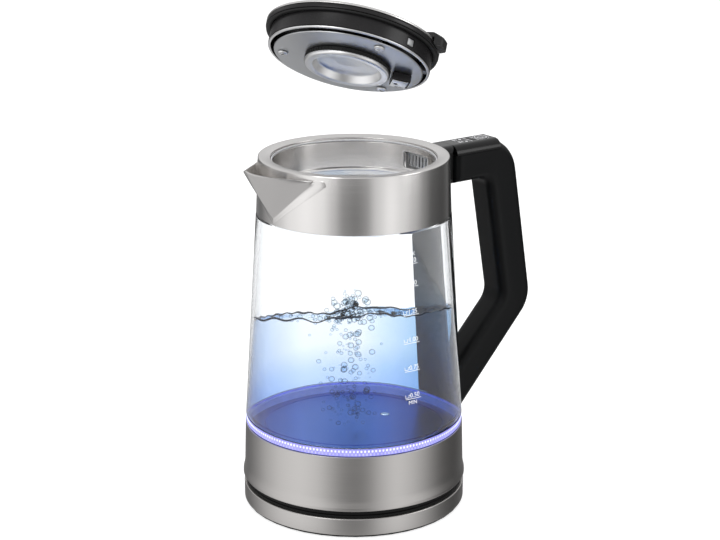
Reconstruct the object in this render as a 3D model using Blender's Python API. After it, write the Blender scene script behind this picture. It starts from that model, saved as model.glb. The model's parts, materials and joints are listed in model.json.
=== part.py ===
"""Glass electric kettle on its power base, with the loose lid lifted off and tipped above it.

Everything is in metres, +Z up. The kettle's own axis is vertical, the handle points to +X and the
spout to -X. The parts are built round that axis and then shifted along X as one, so that the origin
is under the middle of the whole outline.
"""

import math

import bmesh
import bpy
from mathutils import Matrix, Vector

# ---------------------------------------------------------------- driving dimensions

# power base and jug foot
BASE_RADIUS = 0.0740
BASE_RING_HEIGHT = 0.0113
FOOT_PAD_HEIGHT = 0.0020
FOOT_PAD_RADIUS = 0.0055
FOOT_PAD_COUNT = 4
FOOT_PAD_CIRCLE = 0.0640
FOOT_PAD_CLOCK = math.radians(10.0)
SHADOW_GROOVE_HEIGHT = 0.0053
SKIRT_LIP_RADIUS = 0.0746
SKIRT_FOOT_RADIUS = 0.0739
SKIRT_HEIGHT = 0.0367
CONNECTOR_RADIUS = 0.0165
CABLE_RADIUS = 0.0031
CABLE_BUSH_RADIUS = 0.0038
CONNECTOR_POST_RADIUS = 0.0040
CONNECTOR_WALL_RADIUS = 0.0130
CONNECTOR_WALL = 0.0028

# glass, collar and neck
GLASS_FOOT_RADIUS = 0.0723
GLASS_NECK_RADIUS = 0.0630
GLASS_HEIGHT = 0.1382
GLASS_WALL = 0.0030
GLASS_TUCK = 0.0045
LIGHT_RING_HEIGHT = 0.0049
COLLAR_FOOT_RADIUS = 0.0636
COLLAR_TOP_RADIUS = 0.0620
COLLAR_HEIGHT = 0.0372
COLLAR_WALL = 0.0009
MOUTH_RADIUS = 0.0539
BORE_RADIUS = 0.0529
SLEEVE_DEPTH = 0.0230
PLATE_RADIUS = 0.0582
PLATE_RIM_RADIUS = 0.0664

# spout
SPOUT_REACH = 0.0835
SPOUT_HALF_ANGLE = math.radians(35.0)
SPOUT_NOSE_HALF_WIDTH = 0.0075
SPOUT_SHEET = 0.0009
SPOUT_KEEL_RISE = 0.0021
SPOUT_JOINT_DROP = 0.0033
SPOUT_TIP_RISE = 0.0010
FILTER_SLOT_COUNT = 7
FILTER_SLOT_WIDTH = 0.0020
FILTER_SLOT_TOP_DROP = 0.0085
FILTER_SLOT_PITCH = math.radians(4.8)

# handle
HANDLE_WIDTH = 0.0250
HANDLE_ROUND = 0.0068
HANDLE_WALL = 0.0026
ARM_DROP = 0.0034
ARM_DEPTH = 0.0263
GRIP_REACH = 0.0666
GRIP_DEPTH = 0.0264
GRIP_FLARE = 0.0204
BEND_HEIGHT = 0.0577
LEG_UPPER_ROOT = 0.0117
LEG_LOWER_ROOT = -0.0243
MOUNT_LENGTH = 0.0150
PANEL_LENGTH = 0.0386
PANEL_THICKNESS = 0.0018
STRIP_HALF_WIDTH = 0.0156
STRIP_THICKNESS = 0.0022
POWER_BUTTON_RADIUS = 0.0050
POWER_BUTTON_REACH = 0.0454
TEMPERATURE_BUTTON_SIZE = (0.0032, 0.0080)
TEMPERATURE_BUTTON_REACH = 0.0372
BUTTON_TRAVEL = 0.0008
INDICATOR_RADIUS = 0.0011
INDICATOR_REACH = 0.0300
INDICATOR_SPACING = 0.0070
VENT_HALF_WIDTH = 0.0130
VENT_HEIGHT = 0.0110

# lid, in its own frame: the origin is the centre of the seal's lower face
LID_FLANGE_RADIUS = 0.0556
LID_PLUG_RADIUS = 0.0520
LID_FOOT_RADIUS = 0.0516
LID_PLUG_DEPTH = 0.0102
LID_SEAL_HEIGHT = 0.0012
LID_FLANGE_HEIGHT = 0.0026
LID_DISC_HEIGHT = 0.0016
LID_WALL = 0.0018
LID_TRIM_HEIGHT = 0.0010
RECESS_RADIUS = 0.0225
RECESS_FLOOR_RADIUS = 0.0185
RECESS_DEPTH = 0.0088
GRIP_BAR_RADIUS = 0.0030
GRIP_BAR_HEIGHT = 0.0080
TAB_REACH = 0.0615
TAB_HALF_WIDTH = 0.0080
TAB_THICKNESS = 0.0030
TAB_DROOP = 0.0048
UNDERPLATE_RADIUS = 0.0478
UNDERPLATE_SHEET = 0.0010
BOWL_RADIUS = 0.0280
BOWL_MOUTH_RADIUS = 0.0222
BOWL_STAND = 0.0054
LID_SCREW_CIRCLE = 0.0418
LID_SCREW_CLOCK = math.radians(15.5)
DUCT_SIZE = (0.0118, 0.0126, 0.0050)
DUCT_CIRCLE = 0.0348
DUCT_CLOCK = math.radians(27.0)
LATCH_CLOCK = math.radians(25.5)
LATCH_WIDTH = 0.0054
LATCH_HEIGHT = 0.0046

# how the lid is held above the kettle
LID_LIFT = 0.0698
LID_TILT = math.radians(32.8)
LID_TURN = math.radians(57.4)

# shared small sizes
GAP = 0.0003
FINE = 0.00005
ROUND = 40
SMALL_ROUND = 16

# ---------------------------------------------------------------- levels and radii that follow

BASE_RING_BOTTOM = FOOT_PAD_HEIGHT
BASE_RING_TOP = BASE_RING_BOTTOM + BASE_RING_HEIGHT
SKIRT_BOTTOM = BASE_RING_TOP + SHADOW_GROOVE_HEIGHT
SKIRT_TOP = SKIRT_BOTTOM + SKIRT_HEIGHT
GLASS_BOTTOM = SKIRT_TOP + LIGHT_RING_HEIGHT + 2 * GAP
COLLAR_BOTTOM = GLASS_BOTTOM + GLASS_HEIGHT
COLLAR_TOP = COLLAR_BOTTOM + COLLAR_HEIGHT
LID_SEAT = COLLAR_TOP + GAP
BASE_DECK = BASE_RING_TOP + 0.0020
JUG_DECK = BASE_DECK + GAP
PLATE_TOP = SKIRT_TOP + 0.0012
PLATE_SHEET = 0.0010
SKIRT_TOP_RADIUS = GLASS_FOOT_RADIUS + GAP
SKIRT_WALL = 0.0010
ARM_TOP = COLLAR_TOP - ARM_DROP
ARM_BOTTOM = ARM_TOP - ARM_DEPTH
MOUNT_START = COLLAR_TOP_RADIUS - 0.0030
SHELL_START = COLLAR_TOP_RADIUS + MOUNT_LENGTH
PANEL_SEAT = ARM_TOP - HANDLE_ROUND
PANEL_END = SHELL_START + PANEL_LENGTH
BOARD_TOP = PANEL_SEAT - 0.0020
BOARD_THICKNESS = 0.0013
SWITCH_HEIGHT = 0.0036
LID_TOP = LID_SEAL_HEIGHT + GAP + LID_FLANGE_HEIGHT
DISC_BOTTOM = LID_TOP + GAP
DISC_TOP = DISC_BOTTOM + LID_DISC_HEIGHT
RECESS_FLOOR = LID_TOP - RECESS_DEPTH
UNDERPLATE_TOP = -(LID_PLUG_DEPTH + 0.0007)
UNDERPLATE_BOTTOM = UNDERPLATE_TOP - UNDERPLATE_SHEET
BOWL_FOOT = UNDERPLATE_BOTTOM - BOWL_STAND
BOWL_HOLE_RADIUS = BOWL_MOUTH_RADIUS - 0.0010


def glass_radius(z):
    """Outer radius of the tapered glass at a height."""
    share = (z - GLASS_BOTTOM) / GLASS_HEIGHT
    return GLASS_FOOT_RADIUS + (GLASS_NECK_RADIUS - GLASS_FOOT_RADIUS) * share


def collar_radius(z):
    """Outer radius of the steel collar at a height."""
    share = (z - COLLAR_BOTTOM) / COLLAR_HEIGHT
    return COLLAR_FOOT_RADIUS + (COLLAR_TOP_RADIUS - COLLAR_FOOT_RADIUS) * share


def skirt_radius(z):
    """Outer radius of the steel skirt at a height."""
    share = (z - SKIRT_BOTTOM) / SKIRT_HEIGHT
    return SKIRT_FOOT_RADIUS + (SKIRT_TOP_RADIUS - SKIRT_FOOT_RADIUS) * share


# ---------------------------------------------------------------- finishes

FINISHES = {
    "brushed_steel": ((0.62, 0.61, 0.60, 1.0), 0.32, 1.0),
    "bright_steel": ((0.78, 0.78, 0.78, 1.0), 0.12, 1.0),
    "satin_plate": ((0.50, 0.51, 0.52, 1.0), 0.40, 0.9),
    "clear_glass": ((0.90, 0.94, 0.95, 0.3), 0.02, 0.0),
    "soft_black": ((0.016, 0.016, 0.018, 1.0), 0.55, 0.0),
    "gloss_black": ((0.010, 0.010, 0.012, 1.0), 0.10, 0.0),
    "silicone": ((0.10, 0.10, 0.11, 1.0), 0.60, 0.0),
    "light_guide": ((0.45, 0.45, 1.00, 1.0), 0.20, 0.0),
    "white_print": ((0.85, 0.86, 0.88, 1.0), 0.40, 0.0),
    "board_green": ((0.02, 0.12, 0.05, 1.0), 0.45, 0.0),
    "aluminium": ((0.72, 0.72, 0.73, 1.0), 0.35, 1.0),
}


def finish(name):
    """One Principled material per finish, made when it is first asked for."""
    material = bpy.data.materials.get(name)
    if material is None:
        colour, roughness, metallic = FINISHES[name]
        material = bpy.data.materials.new(name)
        material.use_nodes = True
        shader = material.node_tree.nodes["Principled BSDF"]
        shader.inputs["Base Color"].default_value = colour
        shader.inputs["Roughness"].default_value = roughness
        shader.inputs["Metallic"].default_value = metallic
        shader.inputs["Alpha"].default_value = colour[3]
    return material


# ---------------------------------------------------------------- modelling helpers


def clear_scene():
    for old in list(bpy.data.objects):
        bpy.data.objects.remove(old, do_unlink=True)


def frame_empty(name, parent, location=(0.0, 0.0, 0.0), rotation=(0.0, 0.0, 0.0)):
    """An empty that carries the pieces of one moving body."""
    empty = bpy.data.objects.new(name, None)
    empty.empty_display_size = 0.02
    empty.parent = parent
    empty.location = location
    empty.rotation_euler = rotation
    bpy.context.scene.collection.objects.link(empty)
    return empty


def put(name, mesh, parent, look, location=(0.0, 0.0, 0.0), smooth=True):
    """Turns a bmesh into a named object under its body's empty."""
    bmesh.ops.remove_doubles(mesh, verts=mesh.verts, dist=1e-6)
    bmesh.ops.recalc_face_normals(mesh, faces=mesh.faces)
    data = bpy.data.meshes.new(name)
    mesh.to_mesh(data)
    mesh.free()
    if smooth:
        data.shade_smooth()
        data.set_sharp_from_angle(angle=math.radians(35.0))
    data.materials.append(finish(look))
    obj = bpy.data.objects.new(name, data)
    obj.parent = parent
    obj.location = location
    bpy.context.scene.collection.objects.link(obj)
    return obj


def turned_mesh(outline, segments=ROUND, sweep=2 * math.pi, start=0.0):
    """Spins an outline of (radius, height) points about Z; an outline that starts and ends on the
    axis is left open there, any other is a closed loop."""
    mesh = bmesh.new()
    on_axis = outline[0][0] == 0.0 and outline[-1][0] == 0.0
    verts = [mesh.verts.new((r * math.cos(start), r * math.sin(start), z)) for r, z in outline]
    pairs = list(zip(verts, verts[1:]))
    if not on_axis:
        pairs.append((verts[-1], verts[0]))
    edges = [mesh.edges.new(pair) for pair in pairs]
    full = sweep >= 2 * math.pi
    if not full:
        mesh.faces.new(verts)
    bmesh.ops.spin(
        mesh,
        geom=mesh.faces[:] + verts + edges if not full else verts + edges,
        cent=(0, 0, 0),
        axis=(0, 0, 1),
        angle=sweep,
        steps=segments,
        use_merge=full,
        use_duplicate=False,
    )
    return mesh


def turned(name, outline, parent, look, segments=ROUND):
    return put(name, turned_mesh(outline, segments), parent, look)


def disc_outline(radius, bottom, top):
    return [(0.0, top), (radius, top), (radius, bottom), (0.0, bottom)]


def ring_outline(inner, outer, bottom, top):
    return [(inner, top), (outer, top), (outer, bottom), (inner, bottom)]


def box_mesh(size, centre, bevel=0.0, steps=2):
    mesh = bmesh.new()
    bmesh.ops.create_cube(mesh, size=1.0)
    bmesh.ops.scale(mesh, vec=size, verts=mesh.verts)
    if bevel:
        edges = mesh.edges[:]
        bmesh.ops.bevel(mesh, geom=edges, offset=bevel, segments=steps, profile=0.5, affect="EDGES")
    bmesh.ops.translate(mesh, vec=centre, verts=mesh.verts)
    return mesh


def turn_about_z(mesh, angle):
    bmesh.ops.rotate(mesh, cent=(0, 0, 0), matrix=Matrix.Rotation(angle, 3, "Z"), verts=mesh.verts)
    return mesh


def prism_mesh(outline, low, high, axis="Y", bevel=0.0, steps=4):
    """Extrudes a flat outline. With axis Y the points are (x, z), with Z they are (x, y) and with X
    they are (y, z). The bevel rounds the edges round both end faces."""
    place = {
        "Y": lambda a, b, h: (a, h, b),
        "Z": lambda a, b, h: (a, b, h),
        "X": lambda a, b, h: (h, a, b),
    }[axis]
    mesh = bmesh.new()
    face = mesh.faces.new([mesh.verts.new(place(a, b, low)) for a, b in outline])
    grown = bmesh.ops.extrude_face_region(mesh, geom=[face])
    tips = [item for item in grown["geom"] if isinstance(item, bmesh.types.BMVert)]
    shift = Vector(place(0.0, 0.0, high)) - Vector(place(0.0, 0.0, low))
    bmesh.ops.translate(mesh, vec=shift, verts=tips)
    bmesh.ops.recalc_face_normals(mesh, faces=mesh.faces)
    if bevel:
        index = {"X": 0, "Y": 1, "Z": 2}[axis]
        rims = [e for e in mesh.edges if abs(e.verts[0].co[index] - e.verts[1].co[index]) < FINE]
        bmesh.ops.bevel(mesh, geom=rims, offset=bevel, segments=steps, profile=0.5, affect="EDGES")
    return mesh


def rounded(corners, steps=5):
    """An outline from (a, b, radius) corners, each replaced by an arc of its radius."""
    points = []
    count = len(corners)
    for i, (a, b, radius) in enumerate(corners):
        here = Vector((a, b))
        if radius == 0.0:
            points.append(tuple(here))
            continue
        before = (Vector(corners[i - 1][:2]) - here).normalized()
        after = (Vector(corners[(i + 1) % count][:2]) - here).normalized()
        half = math.acos(max(-1.0, min(1.0, before.dot(after)))) / 2
        reach = radius / math.tan(half)
        centre = here + (before + after).normalized() * (radius / math.sin(half))
        first = here + before * reach - centre
        last = here + after * reach - centre
        sweep = math.atan2(first.x * last.y - first.y * last.x, first.dot(last))
        for k in range(steps + 1):
            point = Matrix.Rotation(sweep * k / steps, 2) @ first + centre
            points.append(tuple(point))
    return points


def rod_mesh(radius, length, segments=SMALL_ROUND):
    """A cylinder along X, centred on the origin."""
    mesh = bmesh.new()
    bmesh.ops.create_cone(
        mesh,
        cap_ends=True,
        segments=segments,
        radius1=radius,
        radius2=radius,
        depth=length,
        matrix=Matrix.Rotation(math.radians(90), 4, "Y"),
    )
    return mesh


def cutter(name, mesh, parent):
    """A hidden tool shape for a Boolean."""
    obj = put(name, mesh, parent, "soft_black", smooth=False)
    obj.hide_render = True
    obj.display_type = "WIRE"
    return obj


def boolean(target, tool, operation="DIFFERENCE"):
    modifier = target.modifiers.new(tool.name, "BOOLEAN")
    modifier.object = tool
    modifier.operation = operation
    modifier.solver = "EXACT"


def screw_mesh(head_radius, head_height, shank_radius, shank_length, recess=0.0008):
    """A pan-head screw that points up: the head's face is at z = 0 and the shank runs to +Z."""
    outline = [
        (0.0, head_height + shank_length),
        (shank_radius, head_height + shank_length),
        (shank_radius, head_height),
        (head_radius, head_height),
        (head_radius, head_height * 0.35),
        (head_radius * 0.72, 0.0),
        (head_radius * 0.30, 0.0),
        (0.0, recess),
    ]
    return turned_mesh(outline, 12)


# ---------------------------------------------------------------- power base


def make_base(base):
    ring_inner = BASE_RADIUS - 0.0012
    turned(
        "base_ring",
        [
            (BASE_RADIUS - 0.0020, BASE_RING_TOP),
            (BASE_RADIUS - 0.0005, BASE_RING_TOP),
            (BASE_RADIUS, BASE_RING_TOP - 0.0005),
            (BASE_RADIUS, BASE_RING_BOTTOM),
            (ring_inner, BASE_RING_BOTTOM),
            (ring_inner, BASE_RING_TOP - 0.0010),
            (BASE_RADIUS - 0.0020, BASE_RING_TOP - 0.0010),
        ],
        base,
        "brushed_steel",
    )
    lip = BASE_RING_TOP + GAP
    rim_radius = BASE_RADIUS - 0.0016
    wall = BASE_RADIUS - 0.0024
    turned(
        "base_top",
        [
            (CONNECTOR_RADIUS + 0.0030, BASE_DECK),
            (rim_radius - 0.0020, BASE_DECK),
            (rim_radius, BASE_DECK - 0.0008),
            (rim_radius, lip),
            (wall, lip),
            (wall, lip - 0.0048),
            (wall - 0.0018, lip - 0.0048),
            (wall - 0.0018, lip - 0.0004),
            (CONNECTOR_RADIUS + 0.0030, lip - 0.0004),
        ],
        base,
        "soft_black",
    )
    floor = FOOT_PAD_HEIGHT - 0.0014
    bottom = turned(
        "base_bottom",
        [
            (0.0, floor + 0.0018),
            (wall - 0.0030, floor + 0.0018),
            (wall - 0.0030, floor + 0.0062),
            (wall - 0.0010, floor + 0.0062),
            (wall - 0.0010, floor + 0.0012),
            (BASE_RADIUS - 0.0004, floor + 0.0011),
            (BASE_RADIUS - 0.0010, floor),
            (0.0, floor),
        ],
        base,
        "soft_black",
    )
    for i in range(FOOT_PAD_COUNT):
        angle = FOOT_PAD_CLOCK + i * 2 * math.pi / FOOT_PAD_COUNT
        spot = (FOOT_PAD_CIRCLE * math.cos(angle), FOOT_PAD_CIRCLE * math.sin(angle), 0.0)
        pocket = turned_mesh(disc_outline(FOOT_PAD_RADIUS + GAP, -0.0010, floor + 0.0009), SMALL_ROUND)
        bmesh.ops.translate(pocket, vec=spot, verts=pocket.verts)
        boolean(bottom, cutter(f"cut_foot_{i + 1}", pocket, base))
        pad = [
            (0.0, floor + 0.0006),
            (FOOT_PAD_RADIUS, floor + 0.0006),
            (FOOT_PAD_RADIUS, 0.0004),
            (FOOT_PAD_RADIUS - 0.0005, 0.0),
            (0.0, 0.0),
        ]
        put(f"foot_{i + 1}", turned_mesh(pad, SMALL_ROUND), base, "silicone", spot)
    make_base_connector(base, floor)
    make_cable_gland(base, bottom)


def make_base_connector(base, floor):
    """The round live part that the jug drops on: a centre post inside a ring wall."""
    foot = floor + 0.0018 + GAP
    turned(
        "base_connector",
        [
            (0.0, BASE_DECK + 0.0062),
            (CONNECTOR_POST_RADIUS * 0.6, BASE_DECK + 0.0062),
            (CONNECTOR_POST_RADIUS, BASE_DECK + 0.0050),
            (CONNECTOR_POST_RADIUS, BASE_DECK - 0.0006),
            (CONNECTOR_WALL_RADIUS - CONNECTOR_WALL, BASE_DECK - 0.0006),
            (CONNECTOR_WALL_RADIUS - CONNECTOR_WALL, BASE_DECK + 0.0042),
            (CONNECTOR_WALL_RADIUS, BASE_DECK + 0.0042),
            (CONNECTOR_WALL_RADIUS, BASE_DECK - 0.0002),
            (CONNECTOR_RADIUS + 0.0026, BASE_DECK - 0.0002),
            (CONNECTOR_RADIUS + 0.0026, foot),
            (0.0, foot),
        ],
        base,
        "soft_black",
        24,
    )


def make_cable_gland(base, bottom):
    """The mains inlet in the back of the base: a notch in the rim and the rubber bush that fills it."""
    middle = BASE_RING_BOTTOM + CABLE_BUSH_RADIUS + 0.0004
    top = middle + CABLE_BUSH_RADIUS + 0.0004
    size = (2 * (CABLE_BUSH_RADIUS + GAP), 0.0200, top + 0.0010)
    notch = box_mesh(size, (0.0, BASE_RADIUS - 0.0020, top - size[2] / 2))
    tool = cutter("cut_gland", notch, base)
    boolean(bpy.data.objects["base_ring"], tool)
    boolean(bpy.data.objects["base_top"], tool)
    boolean(bottom, tool)
    outline = [
        (CABLE_RADIUS, -0.0085),
        (CABLE_RADIUS, 0.0024),
        (CABLE_BUSH_RADIUS - 0.0003, 0.0024),
        (CABLE_BUSH_RADIUS, 0.0012),
        (CABLE_BUSH_RADIUS, -0.0085),
    ]
    bush = turned_mesh(outline, 16)
    lay_back = Matrix.Rotation(math.radians(-90), 3, "X")
    bmesh.ops.rotate(bush, cent=(0, 0, 0), matrix=lay_back, verts=bush.verts)
    bmesh.ops.translate(bush, vec=(0.0, BASE_RADIUS - 0.0020, middle), verts=bush.verts)
    put("cable_gland", bush, base, "silicone")


# ---------------------------------------------------------------- jug, lower half


def make_jug_socket(socket):
    """The jug's half of the swivel connector: all round, so the jug can be set down facing any way."""
    post = CONNECTOR_POST_RADIUS + 0.0007
    wall_in = CONNECTOR_WALL_RADIUS - CONNECTOR_WALL - 0.0006
    wall_out = CONNECTOR_WALL_RADIUS + 0.0006
    top = JUG_DECK + 0.0084
    turned(
        "jug_socket",
        [
            (0.0, top),
            (CONNECTOR_RADIUS, top),
            (CONNECTOR_RADIUS, JUG_DECK + GAP),
            (wall_out, JUG_DECK + GAP),
            (wall_out, JUG_DECK + 0.0048),
            (wall_in, JUG_DECK + 0.0048),
            (wall_in, JUG_DECK + GAP),
            (post, JUG_DECK + GAP),
            (post, JUG_DECK + 0.0068),
            (0.0, JUG_DECK + 0.0068),
        ],
        socket,
        "soft_black",
        24,
    )


def make_jug_foot(jug):
    turned(
        "skirt",
        [
            (SKIRT_TOP_RADIUS - SKIRT_WALL, SKIRT_TOP),
            (SKIRT_TOP_RADIUS, SKIRT_TOP),
            (skirt_radius(SKIRT_BOTTOM + 0.0030), SKIRT_BOTTOM + 0.0030),
            (SKIRT_LIP_RADIUS, SKIRT_BOTTOM + 0.0020),
            (SKIRT_LIP_RADIUS, SKIRT_BOTTOM + 0.0004),
            (SKIRT_LIP_RADIUS - 0.0005, SKIRT_BOTTOM),
            (SKIRT_FOOT_RADIUS - SKIRT_WALL, SKIRT_BOTTOM),
        ],
        jug,
        "brushed_steel",
    )
    edge = SKIRT_FOOT_RADIUS - SKIRT_WALL - GAP
    shadow = BASE_RADIUS - 0.0016
    hole = CONNECTOR_RADIUS + 0.0006
    turned(
        "jug_bottom_cover",
        [
            (hole, JUG_DECK + 0.0030),
            (edge - 0.0030, JUG_DECK + 0.0030),
            (edge - 0.0030, SKIRT_BOTTOM + 0.0090),
            (edge - 0.0006, SKIRT_BOTTOM + 0.0090),
            (edge, SKIRT_BOTTOM - GAP),
            (shadow, SKIRT_BOTTOM - GAP),
            (shadow, JUG_DECK + 0.0008),
            (shadow - 0.0020, JUG_DECK),
            (hole, JUG_DECK),
        ],
        jug,
        "soft_black",
    )
    for i in range(3):
        angle = math.radians(30 + 120 * i)
        spot = (0.0420 * math.cos(angle), 0.0420 * math.sin(angle), JUG_DECK + 0.0008)
        hole_mesh = turned_mesh(
            [
                (0.0, 0.0080),
                (0.0015, 0.0080),
                (0.0015, 0.0013),
                (0.0032, 0.0013),
                (0.0032, -0.0030),
                (0.0, -0.0030),
            ],
            12,
        )
        bmesh.ops.translate(hole_mesh, vec=spot, verts=hole_mesh.verts)
        boolean(bpy.data.objects["jug_bottom_cover"], cutter(f"cut_bottom_screw_{i + 1}", hole_mesh, jug))
        put(f"bottom_screw_{i + 1}", screw_mesh(0.0028, 0.0010, 0.0011, 0.0070), jug, "bright_steel", spot)


def make_heater(jug):
    """Floor of the jug: a steel plate with its rim, the spreader and ring element under it."""
    under = PLATE_TOP - PLATE_SHEET
    rim_top = PLATE_TOP - 0.0009
    plate = turned(
        "heater_plate",
        [
            (0.0, PLATE_TOP),
            (PLATE_RADIUS - 0.0006, PLATE_TOP),
            (PLATE_RADIUS, rim_top),
            (PLATE_RIM_RADIUS, rim_top),
            (PLATE_RIM_RADIUS, rim_top - PLATE_SHEET),
            (PLATE_RADIUS - 0.0012, rim_top - PLATE_SHEET),
            (PLATE_RADIUS - 0.0018, under),
            (0.0, under),
        ],
        jug,
        "brushed_steel",
    )
    spreader_radius = PLATE_RADIUS - 0.0060
    spreader_bottom = under - GAP - 0.0022
    spreader = turned(
        "heat_spreader",
        disc_outline(spreader_radius, spreader_bottom, under - GAP),
        jug,
        "aluminium",
        24,
    )
    tube = 0.0033
    ring = bmesh.new()
    bmesh.ops.create_circle(ring, segments=8, radius=tube, matrix=Matrix.Rotation(math.radians(90), 4, "X"))
    bmesh.ops.translate(ring, vec=(PLATE_RADIUS * 0.76, 0.0, spreader_bottom - GAP - tube), verts=ring.verts)
    bmesh.ops.spin(
        ring,
        geom=ring.verts[:] + ring.edges[:],
        cent=(0, 0, 0),
        axis=(0, 0, 1),
        angle=2 * math.pi,
        steps=28,
        use_merge=True,
    )
    put("heating_element", ring, jug, "aluminium")
    probe_spot = (0.0260, 0.0, 0.0)
    for target, radius, label in ((plate, 0.0034, "plate"), (spreader, 0.0060, "spreader")):
        tool = turned_mesh(disc_outline(radius, spreader_bottom - 0.01, PLATE_TOP + 0.01), 12)
        bmesh.ops.translate(tool, vec=probe_spot, verts=tool.verts)
        boolean(target, cutter(f"cut_probe_{label}", tool, jug))
    probe = [
        (0.0, PLATE_TOP + 0.0004),
        (0.0022, PLATE_TOP + 0.0004),
        (0.0030, PLATE_TOP + 0.0001),
        (0.0030, under - GAP),
        (0.0055, under - GAP),
        (0.0055, under - GAP - 0.0018),
        (0.0018, under - GAP - 0.0018),
        (0.0018, under - 0.0090),
        (0.0, under - 0.0090),
    ]
    put("temperature_probe", turned_mesh(probe, 12), jug, "bright_steel", probe_spot)
    socket_top = JUG_DECK + 0.0084
    unit = rounded([(-0.021, -0.017, 0.004), (0.019, -0.017, 0.004), (0.019, 0.017, 0.004), (-0.021, 0.017, 0.004)], 3)
    put(
        "thermostat_unit",
        prism_mesh(unit, socket_top + GAP, socket_top + 0.0120, "Z"),
        jug,
        "gloss_black",
    )


def make_glass_foot(jug):
    """What the glass stands on: the light ring with its board, and the gasket round the plate."""
    guide_out = GLASS_FOOT_RADIUS - 0.0002
    guide_in = GLASS_FOOT_RADIUS - GLASS_WALL
    bottom = SKIRT_TOP + GAP
    turned("light_ring", ring_outline(guide_in, guide_out, bottom, bottom + LIGHT_RING_HEIGHT), jug, "light_guide")
    gasket_out = guide_in - GAP
    turned(
        "foot_gasket",
        ring_outline(PLATE_RIM_RADIUS + GAP, gasket_out, SKIRT_TOP - 0.0016, GLASS_BOTTOM + 0.0012),
        jug,
        "silicone",
    )
    board_top = SKIRT_TOP - 0.0005
    inner = SKIRT_TOP_RADIUS - SKIRT_WALL - 0.0006
    turned("led_board", ring_outline(gasket_out + 0.0004, inner, board_top - 0.0010, board_top), jug, "board_green")


def make_glass(jug):
    neck = COLLAR_FOOT_RADIUS - COLLAR_WALL - 0.0009
    top = COLLAR_BOTTOM + GLASS_TUCK
    turned(
        "glass_body",
        [
            (neck - GLASS_WALL, top),
            (neck, top),
            (neck, COLLAR_BOTTOM - GAP),
            (GLASS_NECK_RADIUS, COLLAR_BOTTOM - GAP),
            (GLASS_FOOT_RADIUS, GLASS_BOTTOM),
            (GLASS_FOOT_RADIUS - GLASS_WALL, GLASS_BOTTOM),
            (neck - GLASS_WALL, COLLAR_BOTTOM - 0.0020),
        ],
        jug,
        "clear_glass",
    )
    turned(
        "neck_gasket",
        [
            (neck - GLASS_WALL, top + 0.0016),
            (neck + 0.0005, top + 0.0016),
            (neck + 0.0005, top - 0.0030),
            (neck + 0.0002, top - 0.0030),
            (neck + 0.0002, top + GAP),
            (neck - GLASS_WALL, top + GAP),
        ],
        jug,
        "silicone",
    )


# ---------------------------------------------------------------- collar and spout

SLEEVE_BOTTOM = COLLAR_TOP - SLEEVE_DEPTH
SEAT_LEDGE = COLLAR_TOP - 0.0035
VENT_TOP = SEAT_LEDGE - 0.0040
SPOUT_KEEL = COLLAR_BOTTOM + SPOUT_KEEL_RISE


def make_collar(jug):
    """Outer wall, top face and hemmed inner sleeve, folded from one sheet."""
    wall = COLLAR_WALL
    hem = 0.0008
    face_edge = COLLAR_TOP - 0.0009
    collar = turned(
        "collar",
        [
            (COLLAR_TOP_RADIUS - 0.0008, COLLAR_TOP),
            (COLLAR_TOP_RADIUS, COLLAR_TOP - 0.0008),
            (COLLAR_FOOT_RADIUS, COLLAR_BOTTOM),
            (COLLAR_FOOT_RADIUS - wall, COLLAR_BOTTOM),
            (COLLAR_TOP_RADIUS - wall, COLLAR_TOP - 0.0008 - wall),
            (MOUTH_RADIUS + wall, face_edge - wall),
            (MOUTH_RADIUS + wall, SEAT_LEDGE - wall),
            (BORE_RADIUS + wall, SEAT_LEDGE - wall),
            (BORE_RADIUS + wall, SLEEVE_BOTTOM),
            (BORE_RADIUS, SLEEVE_BOTTOM - hem),
            (BORE_RADIUS - hem, SLEEVE_BOTTOM),
            (BORE_RADIUS - hem, SLEEVE_BOTTOM + 0.0014),
            (BORE_RADIUS, SLEEVE_BOTTOM + 0.0022),
            (BORE_RADIUS, SEAT_LEDGE),
            (MOUTH_RADIUS, SEAT_LEDGE),
            (MOUTH_RADIUS, face_edge),
        ],
        jug,
        "brushed_steel",
    )
    cut_filter_slots(jug, collar)
    vent_middle = VENT_TOP - VENT_HEIGHT / 2
    window = box_mesh((0.0100, 2 * VENT_HALF_WIDTH, VENT_HEIGHT), (BORE_RADIUS - 0.0010, 0.0, vent_middle))
    boolean(collar, cutter("cut_vent", window, jug))
    size = (0.0009, 2 * VENT_HALF_WIDTH + 0.0030, VENT_HEIGHT + 0.0030)
    place = (BORE_RADIUS + COLLAR_WALL + 0.0012, 0.0, vent_middle)
    grille = put("steam_vent", box_mesh(size, place), jug, "satin_plate", smooth=False)
    for i in range(5):
        across = (i - 2) * 0.0050
        hole = box_mesh((0.0060, 0.0022, VENT_HEIGHT * 0.62), (place[0], across, vent_middle))
        boolean(grille, cutter(f"cut_vent_slot_{i + 1}", hole, jug))
    screw_level = (ARM_TOP + ARM_BOTTOM) / 2
    for i, side in enumerate((1, -1)):
        hole = rod_mesh(0.0019, 0.0060, 12)
        bmesh.ops.translate(hole, vec=(collar_radius(screw_level), side * 0.0060, screw_level), verts=hole.verts)
        boolean(collar, cutter(f"cut_handle_screw_{i + 1}", hole, jug))
        screw = screw_mesh(0.0028, 0.0012, 0.0014, 0.0090)
        point_out = Matrix.Rotation(math.radians(90), 3, "Y")
        bmesh.ops.rotate(screw, cent=(0, 0, 0), matrix=point_out, verts=screw.verts)
        spot = (collar_radius(screw_level) - COLLAR_WALL - 0.0020, side * 0.0060, screw_level)
        put(f"handle_screw_{i + 1}", screw, jug, "bright_steel", spot)


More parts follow.
